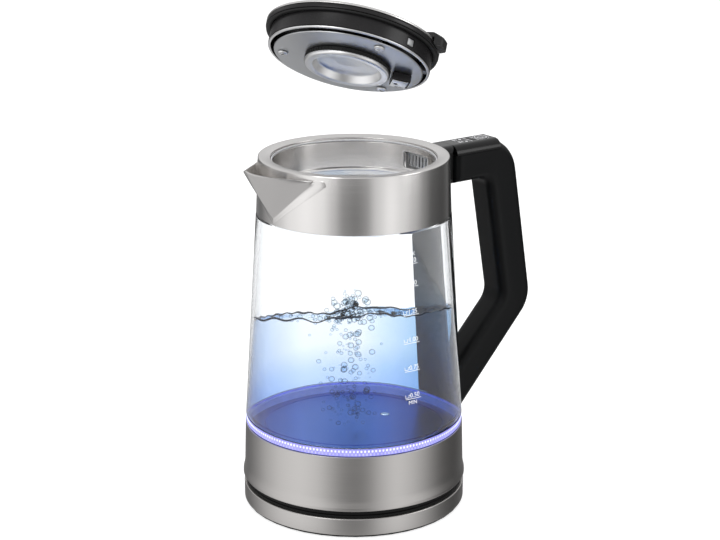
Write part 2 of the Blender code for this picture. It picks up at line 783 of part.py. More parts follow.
def cut_filter_slots(jug, collar):
    """Upright slots in the collar behind the spout, each starting just above the spout's seam."""
    top = COLLAR_TOP - FILTER_SLOT_TOP_DROP
    rise = COLLAR_TOP - SPOUT_JOINT_DROP - SPOUT_KEEL
    lowest = COLLAR_BOTTOM + GLASS_TUCK + 0.0035
    for i in range(FILTER_SLOT_COUNT):
        turn = (i - (FILTER_SLOT_COUNT - 1) / 2) * FILTER_SLOT_PITCH
        bottom = max(lowest, SPOUT_KEEL + rise * abs(turn) / SPOUT_HALF_ANGLE + 0.0030)
        size = (0.0060, FILTER_SLOT_WIDTH, top - bottom)
        slot = box_mesh(size, (collar_radius(top), 0.0, (top + bottom) / 2))
        boolean(collar, cutter(f"cut_filter_{i + 1}", turn_about_z(slot, math.pi + turn), jug))


def make_spout(jug):
    """A V of folded sheet welded over the filter slots. Its inner face is ruled between the seam on
    the collar and the pouring lip, and the sheet's thickness stands outside that."""
    steps = 24
    rungs = 3
    keel = SPOUT_KEEL
    joint = COLLAR_TOP - SPOUT_JOINT_DROP
    tip = COLLAR_TOP + SPOUT_TIP_RISE
    clear = GAP + 0.0001
    joint_x = -(collar_radius(joint) + clear) * math.cos(SPOUT_HALF_ANGLE)
    joint_y = (collar_radius(joint) + clear) * math.sin(SPOUT_HALF_ANGLE)

    def seam(t):
        z = keel + (joint - keel) * abs(t)
        radius = collar_radius(z) + clear
        angle = t * SPOUT_HALF_ANGLE
        return Vector((-radius * math.cos(angle), radius * math.sin(angle), z))

    def lip(t):
        s = 1.0 - abs(t)
        x = (1 - s) ** 2 * joint_x + (1 - (1 - s) ** 2) * -SPOUT_REACH
        y = (1 - s) ** 2 * joint_y + 2 * s * (1 - s) * SPOUT_NOSE_HALF_WIDTH
        z = joint + (tip - joint) * s**1.5
        return Vector((x, math.copysign(y, t) if t else 0.0, z))

    mesh = bmesh.new()
    rows = []
    for i in range(steps + 1):
        t = 0.97 * (2 * i / steps - 1)
        rows.append([mesh.verts.new(seam(t).lerp(lip(t), k / rungs)) for k in range(rungs + 1)])
    for low, high in zip(rows, rows[1:]):
        for k in range(rungs):
            mesh.faces.new((low[k], low[k + 1], high[k + 1], high[k]))
    bmesh.ops.recalc_face_normals(mesh, faces=mesh.faces)
    mesh.faces.ensure_lookup_table()
    if mesh.faces[len(mesh.faces) // 2].normal.z > 0:
        bmesh.ops.reverse_faces(mesh, faces=mesh.faces)
    data = bpy.data.meshes.new("spout")
    mesh.to_mesh(data)
    mesh.free()
    data.shade_smooth()
    data.materials.append(finish("brushed_steel"))
    spout = bpy.data.objects.new("spout", data)
    spout.parent = jug
    bpy.context.scene.collection.objects.link(spout)
    sheet = spout.modifiers.new("sheet", "SOLIDIFY")
    sheet.thickness = SPOUT_SHEET
    sheet.offset = 1.0
    sheet.use_even_offset = False


# ---------------------------------------------------------------- handle


def handle_corners():
    """The side outline of arm, grip and leg, from the collar round to the foot, as rounded corners."""
    outer_top = COLLAR_TOP_RADIUS + GRIP_REACH
    bend = SKIRT_TOP + BEND_HEIGHT
    outer_bend = outer_top + GRIP_FLARE
    lean = math.hypot(outer_bend - outer_top, ARM_TOP - bend)
    across = GRIP_DEPTH * lean / (ARM_TOP - bend)
    inner_top = outer_top + (ARM_TOP - ARM_BOTTOM) * GRIP_FLARE / (ARM_TOP - bend) - across
    inner_bend = outer_bend - across - 0.0006
    root = SKIRT_TOP_RADIUS - 0.0060
    return {
        "outer": [
            (outer_top, ARM_TOP, 0.0270),
            (outer_bend, bend, 0.0240),
            (root, SKIRT_TOP + LEG_LOWER_ROOT - 0.0060, 0.0),
        ],
        "inner": [
            (root, SKIRT_TOP + LEG_UPPER_ROOT - 0.0060, 0.0),
            (inner_bend, bend + 0.0059, 0.0120),
            (inner_top, ARM_BOTTOM, 0.0080),
        ],
    }


def make_handle(jug):
    corners = handle_corners()
    half = HANDLE_WIDTH / 2
    start = [(SHELL_START + GAP, ARM_BOTTOM, 0.0), (SHELL_START + GAP, ARM_TOP, 0.0)]
    outline = rounded(start + corners["outer"] + corners["inner"], 5)
    shell = put(
        "handle_shell",
        prism_mesh(outline, -half, half, "Y", HANDLE_ROUND, 3),
        jug,
        "soft_black",
    )
    trim_handle_ends(jug, shell)
    seat = box_mesh(
        (PANEL_LENGTH + 2 * GAP, HANDLE_WIDTH + 0.004, 2 * HANDLE_ROUND),
        (SHELL_START + PANEL_LENGTH / 2 + GAP, 0.0, PANEL_SEAT + HANDLE_ROUND),
    )
    boolean(shell, cutter("cut_panel_seat", seat, jug))
    hollow_half = half - HANDLE_WALL
    arm_hollow = box_mesh(
        (PANEL_LENGTH - 0.0030, 2 * hollow_half - 0.0030, ARM_DEPTH - HANDLE_WALL),
        (SHELL_START + PANEL_LENGTH / 2 + 0.0010, 0.0, PANEL_SEAT + 0.0100 - (ARM_DEPTH - HANDLE_WALL) / 2),
    )
    boolean(shell, cutter("cut_arm_hollow", arm_hollow, jug))
    make_grip_hollow(jug, shell, corners, hollow_half)
    make_mount(jug, half)
    make_panel(jug, half)


def trim_handle_ends(jug, shell):
    """Cuts the leg's end to the shape of the skirt and of the strip behind the glass."""
    step = GLASS_BOTTOM
    strip_out = STRIP_THICKNESS + 2 * GAP + 0.0003
    tool = turned_mesh(
        [
            (0.0, SKIRT_BOTTOM - 0.0200),
            (skirt_radius(SKIRT_BOTTOM) + GAP, SKIRT_BOTTOM - 0.0200),
            (skirt_radius(SKIRT_BOTTOM) + GAP, SKIRT_BOTTOM),
            (skirt_radius(SKIRT_TOP) + GAP, SKIRT_TOP),
            (skirt_radius(SKIRT_TOP) + GAP, step - 0.0010),
            (glass_radius(step) + strip_out, step - 0.0010),
            (glass_radius(step + 0.0400) + strip_out, step + 0.0400),
            (0.0, step + 0.0400),
        ]
    )
    boolean(shell, cutter("cut_leg_end", tool, jug))


def make_grip_hollow(jug, shell, corners, hollow_half):
    """The wiring space in the grip, open towards the hand, and the cover that closes it."""
    bend_x, bend_z = corners["inner"][1][:2]
    top_x, top_z = corners["inner"][2][:2]
    along = (Vector((top_x, top_z)) - Vector((bend_x, bend_z))).normalized()
    across = Vector((along.y, -along.x))
    low = Vector((bend_x, bend_z)) + along * 0.0120
    high = Vector((top_x, top_z)) - along * 0.0150
    depth = GRIP_DEPTH - HANDLE_WALL - 0.0010

    def slab(near, far, margin):
        pts = [
            low + along * margin + across * near,
            high - along * margin + across * near,
            high - along * margin + across * far,
            low + along * margin + across * far,
        ]
        return [tuple(point) for point in pts]

    pocket_half = hollow_half - 0.0042
    pocket = prism_mesh(slab(-0.0060, depth, 0.0), -pocket_half, pocket_half)
    boolean(shell, cutter("cut_grip_hollow", pocket, jug))
    cover_half = pocket_half - GAP
    put("handle_inner_cover", prism_mesh(slab(0.0001, 0.0024, GAP), -cover_half, cover_half), jug, "soft_black")


def make_mount(jug, half):
    """The moulded boss between collar and handle, and the strip that runs down behind the glass."""
    outline = [
        (MOUNT_START, ARM_BOTTOM),
        (MOUNT_START, ARM_TOP),
        (SHELL_START - GAP, ARM_TOP),
        (SHELL_START - GAP, ARM_BOTTOM),
    ]
    mount = put(
        "handle_mount",
        prism_mesh(outline, -half, half, "Y", HANDLE_ROUND, 3),
        jug,
        "gloss_black",
    )
    square = box_mesh(
        (0.0180, HANDLE_WIDTH + 0.02, ARM_DEPTH + 0.02),
        (MOUNT_START + 0.0090 - 0.0180, 0.0, (ARM_TOP + ARM_BOTTOM) / 2),
    )
    boolean(mount, cutter("cut_mount_back", square, jug))
    clear = GAP + 0.0001
    tool = turned_mesh(
        [
            (0.0, ARM_BOTTOM - 0.01),
            (collar_radius(ARM_BOTTOM - 0.01) + clear, ARM_BOTTOM - 0.01),
            (collar_radius(ARM_TOP + 0.01) + clear, ARM_TOP + 0.01),
            (0.0, ARM_TOP + 0.01),
        ]
    )
    boolean(mount, cutter("cut_mount_curve", tool, jug))
    screw_level = (ARM_TOP + ARM_BOTTOM) / 2
    for i, side in enumerate((1, -1)):
        hole = rod_mesh(0.0017, 0.0200, 12)
        spot = (COLLAR_TOP_RADIUS, side * 0.0060, screw_level)
        bmesh.ops.translate(hole, vec=spot, verts=hole.verts)
        boolean(mount, cutter(f"cut_mount_screw_{i + 1}", hole, jug))
    bottom = GLASS_BOTTOM + 0.0004
    top = COLLAR_BOTTOM - 0.0006
    half_angle = STRIP_HALF_WIDTH / ((glass_radius(bottom) + glass_radius(top)) / 2)
    inner = GAP + 0.0001
    strip = turned_mesh(
        [
            (glass_radius(top) + inner, top),
            (glass_radius(top) + inner + STRIP_THICKNESS, top),
            (glass_radius(bottom) + inner + STRIP_THICKNESS, bottom),
            (glass_radius(bottom) + inner, bottom),
        ],
        4,
        2 * half_angle,
        -half_angle,
    )
    put("handle_strip", strip, jug, "soft_black")


def crown(width, bottom, top, radius, steps=4):
    """Half section of the arm's rounded top, from one side over to the other, as (y, z) points."""
    half = width / 2
    side = min(radius, top - bottom)
    points = []
    for sign in (-1, 1):
        arc = []
        for k in range(steps + 1):
            angle = k / steps * math.pi / 2
            y = (half - radius) + radius * math.cos(angle)
            z = top - radius + radius * math.sin(angle)
            arc.append((sign * y, z))
        points += arc if sign == -1 else arc[::-1]
    if top - side > bottom + FINE:
        points = [(-half, bottom)] + points + [(half, bottom)]
    return points


def make_panel(jug, half):
    """The glossy control panel over the arm, its two buttons and lamps, and the board below."""
    width = HANDLE_WIDTH
    top = ARM_TOP
    outer = crown(width, PANEL_SEAT, top, HANDLE_ROUND)
    inner = crown(width - 2 * PANEL_THICKNESS, PANEL_SEAT, top - PANEL_THICKNESS, HANDLE_ROUND - PANEL_THICKNESS)
    lifted = [(y, z + GAP) for y, z in outer]
    hollow = [(y, max(z, PANEL_SEAT + GAP)) for y, z in inner]
    for i, (y, z) in enumerate(lifted):
        lifted[i] = (y, min(z, top))
    start = SHELL_START + 2 * GAP
    end = start + PANEL_LENGTH - 2 * GAP
    panel = put(
        "control_panel",
        prism_mesh(lifted + hollow[::-1], start, end, "X"),
        jug,
        "gloss_black",
    )
    make_buttons(jug, panel, top)
    board_size = (PANEL_LENGTH - 0.0080, 2 * (half - HANDLE_WALL) - 0.0048, BOARD_THICKNESS)
    middle = SHELL_START + PANEL_LENGTH / 2 + 0.0010
    board_place = (middle, 0.0, BOARD_TOP - BOARD_THICKNESS / 2)
    put("control_board", box_mesh(board_size, board_place), jug, "board_green", smooth=False)


def make_buttons(jug, panel, top):
    under = top - PANEL_THICKNESS
    power_x = COLLAR_TOP_RADIUS + POWER_BUTTON_REACH
    temperature_x = COLLAR_TOP_RADIUS + TEMPERATURE_BUTTON_REACH
    lift = 0.0002
    switch_top = BOARD_TOP + GAP + SWITCH_HEIGHT
    stem_bottom = switch_top + BUTTON_TRAVEL + 0.0002
    flange_top = under - GAP
    flange_bottom = flange_top - 0.0008

    hole = turned_mesh(disc_outline(POWER_BUTTON_RADIUS + GAP, under - 0.005, top + 0.005), 20)
    bmesh.ops.translate(hole, vec=(power_x, 0, 0), verts=hole.verts)
    boolean(panel, cutter("cut_power_button", hole, jug))
    power_frame = frame_empty("power_button_axis", jug, (power_x, 0.0, 0.0))
    power = [
        (0.0, top + lift),
        (POWER_BUTTON_RADIUS, top + lift),
        (POWER_BUTTON_RADIUS, flange_top),
        (POWER_BUTTON_RADIUS + 0.0007, flange_top),
        (POWER_BUTTON_RADIUS + 0.0007, flange_bottom),
        (0.0015, flange_bottom),
        (0.0015, stem_bottom),
        (0.0, stem_bottom),
    ]
    put("power_button", turned_mesh(power, 20), power_frame, "gloss_black")

    long, wide = TEMPERATURE_BUTTON_SIZE
    slot = box_mesh((long + 2 * GAP, wide + 2 * GAP, 0.01), (temperature_x, 0, top))
    boolean(panel, cutter("cut_temperature_button", slot, jug))
    temperature_frame = frame_empty("temperature_button_axis", jug, (temperature_x, 0.0, 0.0))
    cap = box_mesh((long, wide, top + lift - flange_bottom), (0, 0, (top + lift + flange_bottom) / 2))
    button = put("temperature_button", cap, temperature_frame, "gloss_black", smooth=False)
    stem = box_mesh((0.0020, 0.0020, 0.0040), (0, 0, stem_bottom + 0.0020))
    boolean(button, cutter("join_temperature_stem", stem, temperature_frame), "UNION")

    for i, side in enumerate((1, -1)):
        spot = (COLLAR_TOP_RADIUS + INDICATOR_REACH, side * INDICATOR_SPACING / 2, 0.0)
        hole = turned_mesh(disc_outline(INDICATOR_RADIUS + GAP, under - 0.005, top + 0.005), 10)
        bmesh.ops.translate(hole, vec=spot, verts=hole.verts)
        boolean(panel, cutter(f"cut_indicator_{i + 1}", hole, jug))
        lamp = turned_mesh(disc_outline(INDICATOR_RADIUS, BOARD_TOP + GAP, top + 0.0001), 10)
        put(f"indicator_lamp_{i + 1}", lamp, jug, "white_print", spot)
    for label, x in (("power", power_x), ("temperature", temperature_x)):
        body = box_mesh((0.0050, 0.0050, SWITCH_HEIGHT), (x, 0, BOARD_TOP + GAP + SWITCH_HEIGHT / 2))
        put(f"{label}_switch", body, jug, "satin_plate", smooth=False)


# ---------------------------------------------------------------- lid


def make_lid(seat, bar, lid, latches):
    clear_of_flats = (MOUTH_RADIUS - 0.0001) * math.cos(math.pi / ROUND)
    ring = ring_outline(BORE_RADIUS - 0.0001, clear_of_flats, SEAT_LEDGE + GAP, SEAT_LEDGE + 0.0012)
    turned("lid_seat_ring", ring, seat, "silicone")

    bar_length = 2 * (RECESS_RADIUS - 0.0004)
    rod = rod_mesh(GRIP_BAR_RADIUS, bar_length, 20)
    trunnion = rod_mesh(0.0012, bar_length + 0.0040, 12)
    grip = put("lid_grip_bar", rod, bar, "bright_steel")
    boolean(grip, cutter("join_trunnion", trunnion, bar), "UNION")

    make_lid_shell(lid)
    make_lid_top(lid)
    make_lid_underside(lid)
    make_latches(lid, latches)


def make_lid_shell(lid):
    flange_bottom = LID_SEAL_HEIGHT + GAP
    inner = LID_PLUG_RADIUS - LID_WALL
    web = LID_TOP - LID_WALL
    trim_top = -LID_PLUG_DEPTH + LID_TRIM_HEIGHT
    turned(
        "lid_trim_ring",
        [
            (inner, trim_top),
            (LID_PLUG_RADIUS - 0.0001, trim_top),
            (LID_PLUG_RADIUS - 0.0001, trim_top - 0.0006),
            (LID_FOOT_RADIUS, -LID_PLUG_DEPTH),
            (inner, -LID_PLUG_DEPTH),
        ],
        lid,
        "bright_steel",
    )
    turned(
        "lid_shell",
        [
            (0.0, RECESS_FLOOR),
            (RECESS_FLOOR_RADIUS, RECESS_FLOOR),
            (RECESS_RADIUS, LID_TOP),
            (LID_FLANGE_RADIUS - 0.0004, LID_TOP),
            (LID_FLANGE_RADIUS, LID_TOP - 0.0006),
            (LID_FLANGE_RADIUS, flange_bottom),
            (LID_PLUG_RADIUS, flange_bottom),
            (LID_PLUG_RADIUS - 0.0001, trim_top + GAP),
            (inner, trim_top + GAP),
            (inner, web),
            (RECESS_RADIUS + 0.0016, web),
            (RECESS_FLOOR_RADIUS + 0.0012, RECESS_FLOOR - LID_WALL),
            (0.0, RECESS_FLOOR - LID_WALL),
        ],
        lid,
        "gloss_black",
    )
    turned(
        "lid_seal",
        [
            (LID_PLUG_RADIUS + 0.0004, LID_SEAL_HEIGHT),
            (LID_FLANGE_RADIUS - 0.0002, LID_SEAL_HEIGHT),
            (LID_FLANGE_RADIUS - 0.0006, 0.0),
            (LID_PLUG_RADIUS + 0.0016, 0.0),
            (LID_PLUG_RADIUS + 0.0004, 0.0004),
        ],
        lid,
        "silicone",
    )
    disc = ring_outline(RECESS_RADIUS + GAP, LID_FLANGE_RADIUS + 0.0001, DISC_BOTTOM, DISC_TOP)
    turned("lid_top_disc", disc, lid, "brushed_steel")


def make_lid_top(lid):
    """The thumb tab and the saddle that hold the two ends of the grip bar."""
    foot = DISC_TOP + GAP
    saddle_in = RECESS_RADIUS + 0.0002
    saddle_out = saddle_in + 0.0052
    saddle_top = GRIP_BAR_HEIGHT + GRIP_BAR_RADIUS + 0.0004
    saddle_half = 0.0052

    plan = rounded(
        [
            (saddle_in, -saddle_half, 0.0),
            (LID_FLANGE_RADIUS, -TAB_HALF_WIDTH, 0.0040),
            (TAB_REACH, -TAB_HALF_WIDTH * 0.62, 0.0050),
            (TAB_REACH, TAB_HALF_WIDTH * 0.62, 0.0050),
            (LID_FLANGE_RADIUS, TAB_HALF_WIDTH, 0.0040),
            (saddle_in, saddle_half, 0.0),
        ],
        3,
    )
    edge = LID_FLANGE_RADIUS + 0.0006
    side = rounded(
        [
            (saddle_in - 0.0010, foot, 0.0),
            (edge, foot, 0.0),
            (edge, foot - TAB_DROOP, 0.0),
            (TAB_REACH + 0.0010, foot - TAB_DROOP, 0.0014),
            (TAB_REACH + 0.0010, foot + 0.0004, 0.0024),
            (edge - 0.0010, foot + TAB_THICKNESS, 0.0020),
            (saddle_in - 0.0010, foot + TAB_THICKNESS, 0.0),
        ],
        3,
    )
    low = foot - TAB_DROOP - 0.0010
    tab = put("lid_tab", prism_mesh(side, -TAB_HALF_WIDTH - 0.001, TAB_HALF_WIDTH + 0.001), lid, "soft_black")
    trim = cutter("cut_tab_plan", prism_mesh(plan, low, foot + TAB_THICKNESS + 0.0010, "Z"), lid)
    boolean(tab, trim, "INTERSECT")
    block_size = (saddle_out - saddle_in, 2 * saddle_half, saddle_top - foot)
    block_place = ((saddle_in + saddle_out) / 2, 0.0, (saddle_top + foot) / 2)
    block = cutter("join_tab_saddle", box_mesh(block_size, block_place), lid)
    boolean(tab, block, "UNION")
    rear_place = (-block_place[0], 0.0, block_place[2])
    saddle = put("grip_saddle", box_mesh(block_size, rear_place, 0.0006, 1), lid, "soft_black", smooth=False)
    bore = rod_mesh(0.0015, 2 * saddle_in + 0.0064, 12)
    bmesh.ops.translate(bore, vec=(0, 0, GRIP_BAR_HEIGHT), verts=bore.verts)
    tool = cutter("cut_trunnion_bores", bore, lid)
    boolean(tab, tool)
    boolean(saddle, tool)


def make_lid_underside(lid):
    plate = turned(
        "lid_underplate",
        [
            (BOWL_HOLE_RADIUS, UNDERPLATE_TOP),
            (UNDERPLATE_RADIUS, UNDERPLATE_TOP),
            (UNDERPLATE_RADIUS, UNDERPLATE_BOTTOM + 0.0004),
            (UNDERPLATE_RADIUS - 0.0006, UNDERPLATE_BOTTOM),
            (BOWL_HOLE_RADIUS, UNDERPLATE_BOTTOM),
        ],
        lid,
        "satin_plate",
    )
    rim_top = BOWL_FOOT + 0.0016
    turned(
        "lid_bowl_wall",
        ring_outline(BOWL_RADIUS - 0.0022, BOWL_RADIUS - 0.0004, rim_top + GAP, UNDERPLATE_BOTTOM - GAP),
        lid,
        "soft_black",
    )
    dish_top = UNDERPLATE_TOP + 0.0012
    turned(
        "lid_bowl",
        [
            (0.0, dish_top),
            (BOWL_HOLE_RADIUS * 0.62, dish_top),
            (BOWL_HOLE_RADIUS - 0.0024, UNDERPLATE_BOTTOM + 0.0002),
            (BOWL_HOLE_RADIUS - GAP, UNDERPLATE_BOTTOM - 0.0014),
            (BOWL_HOLE_RADIUS - GAP, rim_top),
            (BOWL_RADIUS - 0.0004, rim_top),
            (BOWL_RADIUS, BOWL_FOOT + 0.0011),
            (BOWL_RADIUS - 0.0010, BOWL_FOOT + 0.0002),
            (BOWL_RADIUS - 0.0028, BOWL_FOOT),
            (BOWL_MOUTH_RADIUS + 0.0006, BOWL_FOOT + 0.0004),
            (BOWL_MOUTH_RADIUS - 0.0014, BOWL_FOOT + 0.0014),
            (BOWL_MOUTH_RADIUS - 0.0040, UNDERPLATE_BOTTOM - 0.0018),
            (BOWL_MOUTH_RADIUS - 0.0080, UNDERPLATE_BOTTOM + 0.0002),
            (BOWL_MOUTH_RADIUS - 0.0130, UNDERPLATE_TOP + 0.0002),
            (0.0, UNDERPLATE_TOP + 0.0005),
        ],
        lid,
        "bright_steel",
    )
    make_lid_screws(lid, plate)
    make_steam_duct(lid)


def make_lid_screws(lid, plate):
    for i in range(3):
        angle = LID_SCREW_CLOCK + math.radians(180 + 120 * i)
        x = LID_SCREW_CIRCLE * math.cos(angle)
        y = LID_SCREW_CIRCLE * math.sin(angle)
        head = 0.0014
        hole = turned_mesh(disc_outline(0.0016, UNDERPLATE_BOTTOM - 0.005, UNDERPLATE_TOP + 0.005), 12)
        bmesh.ops.translate(hole, vec=(x, y, 0), verts=hole.verts)
        boolean(plate, cutter(f"cut_lid_screw_{i + 1}", hole, lid))
        spot = (x, y, UNDERPLATE_BOTTOM - GAP - head)
        put(f"lid_screw_{i + 1}", screw_mesh(0.0034, head, 0.0012, 0.0080), lid, "bright_steel", spot)


def make_steam_duct(lid):
    """The block beside the bowl that leads steam to the vent in the collar, and its pierced cover."""
    long, wide, tall = DUCT_SIZE
    top = UNDERPLATE_BOTTOM - GAP
    block = box_mesh((long, wide, tall), (DUCT_CIRCLE, 0.0, top - tall / 2), 0.0005, 1)
    duct = put("steam_duct", turn_about_z(block, DUCT_CLOCK), lid, "soft_black", smooth=False)
    well = turned_mesh(disc_outline(0.0011, top - tall - 0.002, top - 0.0012), 12)
    bmesh.ops.translate(well, vec=(DUCT_CIRCLE - long * 0.22, 0.0, 0.0), verts=well.verts)
    boolean(duct, cutter("cut_duct_hole", turn_about_z(well, DUCT_CLOCK), lid))
    slit = box_mesh((0.0060, wide * 0.6, 0.0016), (DUCT_CIRCLE + long / 2, 0.0, top - tall * 0.5))
    boolean(duct, cutter("cut_duct_slit", turn_about_z(slit, DUCT_CLOCK), lid))
    cover_top = top - tall - GAP
    sheet = box_mesh((long - 0.0020, wide - 0.0012, 0.0006), (DUCT_CIRCLE - 0.0006, 0.0, cover_top - 0.0003))
    cover = put("steam_duct_cover", turn_about_z(sheet, DUCT_CLOCK), lid, "bright_steel", smooth=False)
    pierce = turned_mesh(disc_outline(0.0013, cover_top - 0.003, cover_top + 0.0002), 12)
    bmesh.ops.translate(pierce, vec=(DUCT_CIRCLE - long * 0.22, 0.0, 0.0), verts=pierce.verts)
    boolean(cover, cutter("cut_duct_cover", turn_about_z(pierce, DUCT_CLOCK), lid))


def make_latches(lid, latches):
    """Two sprung catches in windows of the plug wall; each slides straight in along a radius."""
    middle = -LID_PLUG_DEPTH / 2 + 0.0006
    shell = bpy.data.objects["lid_shell"]
    for name, sign in (("latch_left", 1), ("latch_right", -1)):
        angle = sign * LATCH_CLOCK
        size = (0.0080, LATCH_WIDTH + 2 * GAP, LATCH_HEIGHT + 2 * GAP)
        window = box_mesh(size, (LID_PLUG_RADIUS, 0.0, middle))
        boolean(shell, cutter(f"cut_{name}", turn_about_z(window, angle), lid))
        length = 0.0064
        body = box_mesh((length, LATCH_WIDTH, LATCH_HEIGHT), (-length / 2, 0.0, 0.0), 0.0004, 1)
        frame = latches[name]
        frame.location = (
            (LID_PLUG_RADIUS - 0.0002) * math.cos(angle),
            (LID_PLUG_RADIUS - 0.0002) * math.sin(angle),
            middle,
        )
        frame.rotation_euler = (0.0, 0.0, angle)
        put(name, body, frame, "satin_plate", smooth=False)


# ---------------------------------------------------------------- the whole kettle


def outline_middle(objects):
    """Middle of the whole outline along X, measured on the built solids."""
    graph = bpy.context.evaluated_depsgraph_get()
    xs = []
    for obj in objects:
        if obj.type == "MESH" and not obj.hide_render:
            placed = obj.evaluated_get(graph)
            xs += [(placed.matrix_world @ vert.co).x for vert in placed.data.vertices]
    return (min(xs) + max(xs)) / 2


def build():
    clear_scene()
    kettle = frame_empty("kettle_axis", None)
    base = frame_empty("base_body", kettle)
    socket = frame_empty("socket_body", kettle)
    jug = frame_empty("jug_body", kettle)
    seat = frame_empty("lid_seat_body", jug, rotation=(0.0, 0.0, -LID_TURN))
    bar_level = LID_SEAT + GRIP_BAR_HEIGHT + LID_LIFT
    bar = frame_empty("lid_bar_body", seat, (0.0, 0.0, bar_level))
    tipped = frame_empty("lid_tilt_axis", bar, rotation=(-LID_TILT, 0.0, 0.0))
    lid = frame_empty("lid_body", tipped, (0.0, 0.0, -GRIP_BAR_HEIGHT))
    latches = {name: frame_empty(f"{name}_axis", lid) for name in ("latch_left", "latch_right")}

    make_base(base)
    make_jug_socket(socket)
    make_jug_foot(jug)
    make_heater(jug)
    make_glass_foot(jug)
    make_glass(jug)
    make_collar(jug)
    make_spout(jug)
    make_handle(jug)
    make_lid(seat, bar, lid, latches)

    bpy.context.view_layer.update()
    kettle.location.x = -outline_middle(bpy.context.scene.objects)
    bpy.context.view_layer.update()


build()
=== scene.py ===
# %% [markdown]
# # A glass kettle with its lid lifted off
#
# The kettle is already built as solids. This lesson loads them as a fixed frame, and then gives
# each piece that shows a smoother shape and a real finish. Everything is in metres; the small
# sizes below are written in millimetres, as on a drawing, and turned into metres when a shape is
# drawn.

import json
import math
import random

import bpy
from mathutils import Matrix, Vector


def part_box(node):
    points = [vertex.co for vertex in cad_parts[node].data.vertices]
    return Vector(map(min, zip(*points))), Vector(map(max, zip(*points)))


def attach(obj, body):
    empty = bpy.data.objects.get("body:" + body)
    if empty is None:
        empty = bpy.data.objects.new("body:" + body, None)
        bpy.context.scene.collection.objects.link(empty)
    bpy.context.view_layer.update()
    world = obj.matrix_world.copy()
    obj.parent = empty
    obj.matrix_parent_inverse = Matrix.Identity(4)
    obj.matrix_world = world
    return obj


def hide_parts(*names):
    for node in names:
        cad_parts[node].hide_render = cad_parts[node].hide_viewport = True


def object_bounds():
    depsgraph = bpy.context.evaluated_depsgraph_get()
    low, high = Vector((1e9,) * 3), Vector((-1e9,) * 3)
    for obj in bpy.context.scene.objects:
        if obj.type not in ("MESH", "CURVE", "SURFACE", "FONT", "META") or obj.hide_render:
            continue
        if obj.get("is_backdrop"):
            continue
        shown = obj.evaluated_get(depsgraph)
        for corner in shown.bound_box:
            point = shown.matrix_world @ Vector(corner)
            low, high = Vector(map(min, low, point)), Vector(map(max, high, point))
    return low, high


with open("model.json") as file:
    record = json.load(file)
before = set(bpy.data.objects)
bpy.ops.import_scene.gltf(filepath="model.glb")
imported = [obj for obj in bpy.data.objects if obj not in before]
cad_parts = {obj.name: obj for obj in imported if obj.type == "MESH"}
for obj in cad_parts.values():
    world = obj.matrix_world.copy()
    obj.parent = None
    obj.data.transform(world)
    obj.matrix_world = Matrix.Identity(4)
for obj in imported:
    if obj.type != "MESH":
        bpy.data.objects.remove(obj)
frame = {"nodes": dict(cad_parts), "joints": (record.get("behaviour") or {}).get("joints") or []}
CAD_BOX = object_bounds()
MM = 0.001
TURN = 2 * math.pi

# %% [markdown]
# ## Where things are
#
# The kettle stands on its own upright axis, a little to the spout's side of the origin. The main
# heights and radii that the new pieces need are read from the boxes of the solids, so they fit
# with no guessing.

# %% Measure the solids


def low(node):
    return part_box(node)[0].z / MM


def high(node):
    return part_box(node)[1].z / MM


def half_width(node):
    lowest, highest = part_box(node)
    return (highest.y - lowest.y) / 2 / MM


glass_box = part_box("glass_body")
AXIS_X = (glass_box[0].x + glass_box[1].x) / 2
KETTLE = Matrix.Translation((AXIS_X, 0, 0))
RING_LOW, RING_HIGH = low("base_ring"), high("base_ring")
SKIRT_LOW, SKIRT_HIGH = low("skirt"), high("skirt")
GLASS_LOW, GLASS_HIGH = low("glass_body"), high("glass_body")
COLLAR_LOW, COLLAR_HIGH = low("collar"), high("collar")
PLATE_HIGH = high("heater_plate")
BASE_R = half_width("base_ring")
SKIRT_LIP_R = half_width("skirt")
FOOT_R = half_width("glass_body")
COLLAR_LOW_R = half_width("collar")
COLLAR_TOP_R = COLLAR_LOW_R - 1.6
NECK_R = COLLAR_LOW_R + 0.2


def glass_r(z):
    """Outer radius of the tapered glass, in millimetres, at a height in millimetres."""
    return FOOT_R + (NECK_R - FOOT_R) * (z - GLASS_LOW) / (COLLAR_LOW - GLASS_LOW)


def collar_r(z):
    """Outer radius of the collar, which tapers less than the glass."""
    share = (z - COLLAR_LOW) / (COLLAR_HIGH - COLLAR_LOW)
    return COLLAR_LOW_R + (COLLAR_TOP_R - COLLAR_LOW_R) * share


print(f"axis at x = {AXIS_X / MM:.1f} mm, foot radius {FOOT_R:.1f} mm")
print(f"collar radius {COLLAR_LOW_R:.1f} mm at its foot, {COLLAR_TOP_R:.1f} mm at its top")

# %% [markdown]
# ## The lid's own frame
#
# The lid hangs tipped above the neck. It is far easier to model it lying flat about the upright
# axis and to set it in place afterwards. The tilt joint of the record gives the point and the
# line that it tips about; the tilt itself is the angle that the joint would level out.

# %% Work out how the lid is set
joints = {joint["name"]: joint for joint in frame["joints"]}
tilt_joint = joints["lid_tilt"]
LID_TILT = math.radians(32.8)
BAR_HEIGHT = 8.0
bar_line = Vector(tilt_joint["axis"]).normalized()
lid_up = Matrix.Rotation(-LID_TILT, 3, bar_line) @ Vector((0, 0, 1))
lid_axes = Matrix((bar_line, lid_up.cross(bar_line), lid_up)).transposed()
LID = (
    Matrix.Translation(tilt_joint["pos_m"])
    @ lid_axes.to_4x4()
    @ Matrix.Translation((0, 0, -BAR_HEIGHT * MM))
)
print("the lid's up direction:", [round(part, 3) for part in lid_up])

# %% [markdown]
# ## Drawing tools
#
# Most of a kettle is turned metal, moulded plastic and glass, so two ways of drawing cover
# nearly all of it. A round piece is an outline spun about an axis. A moulded bar is a flat
# outline pulled out sideways with its edges rounded. Both outlines are drawn as by hand: one
# point, extruded from corner to corner.

# %% A point, and a line drawn from it


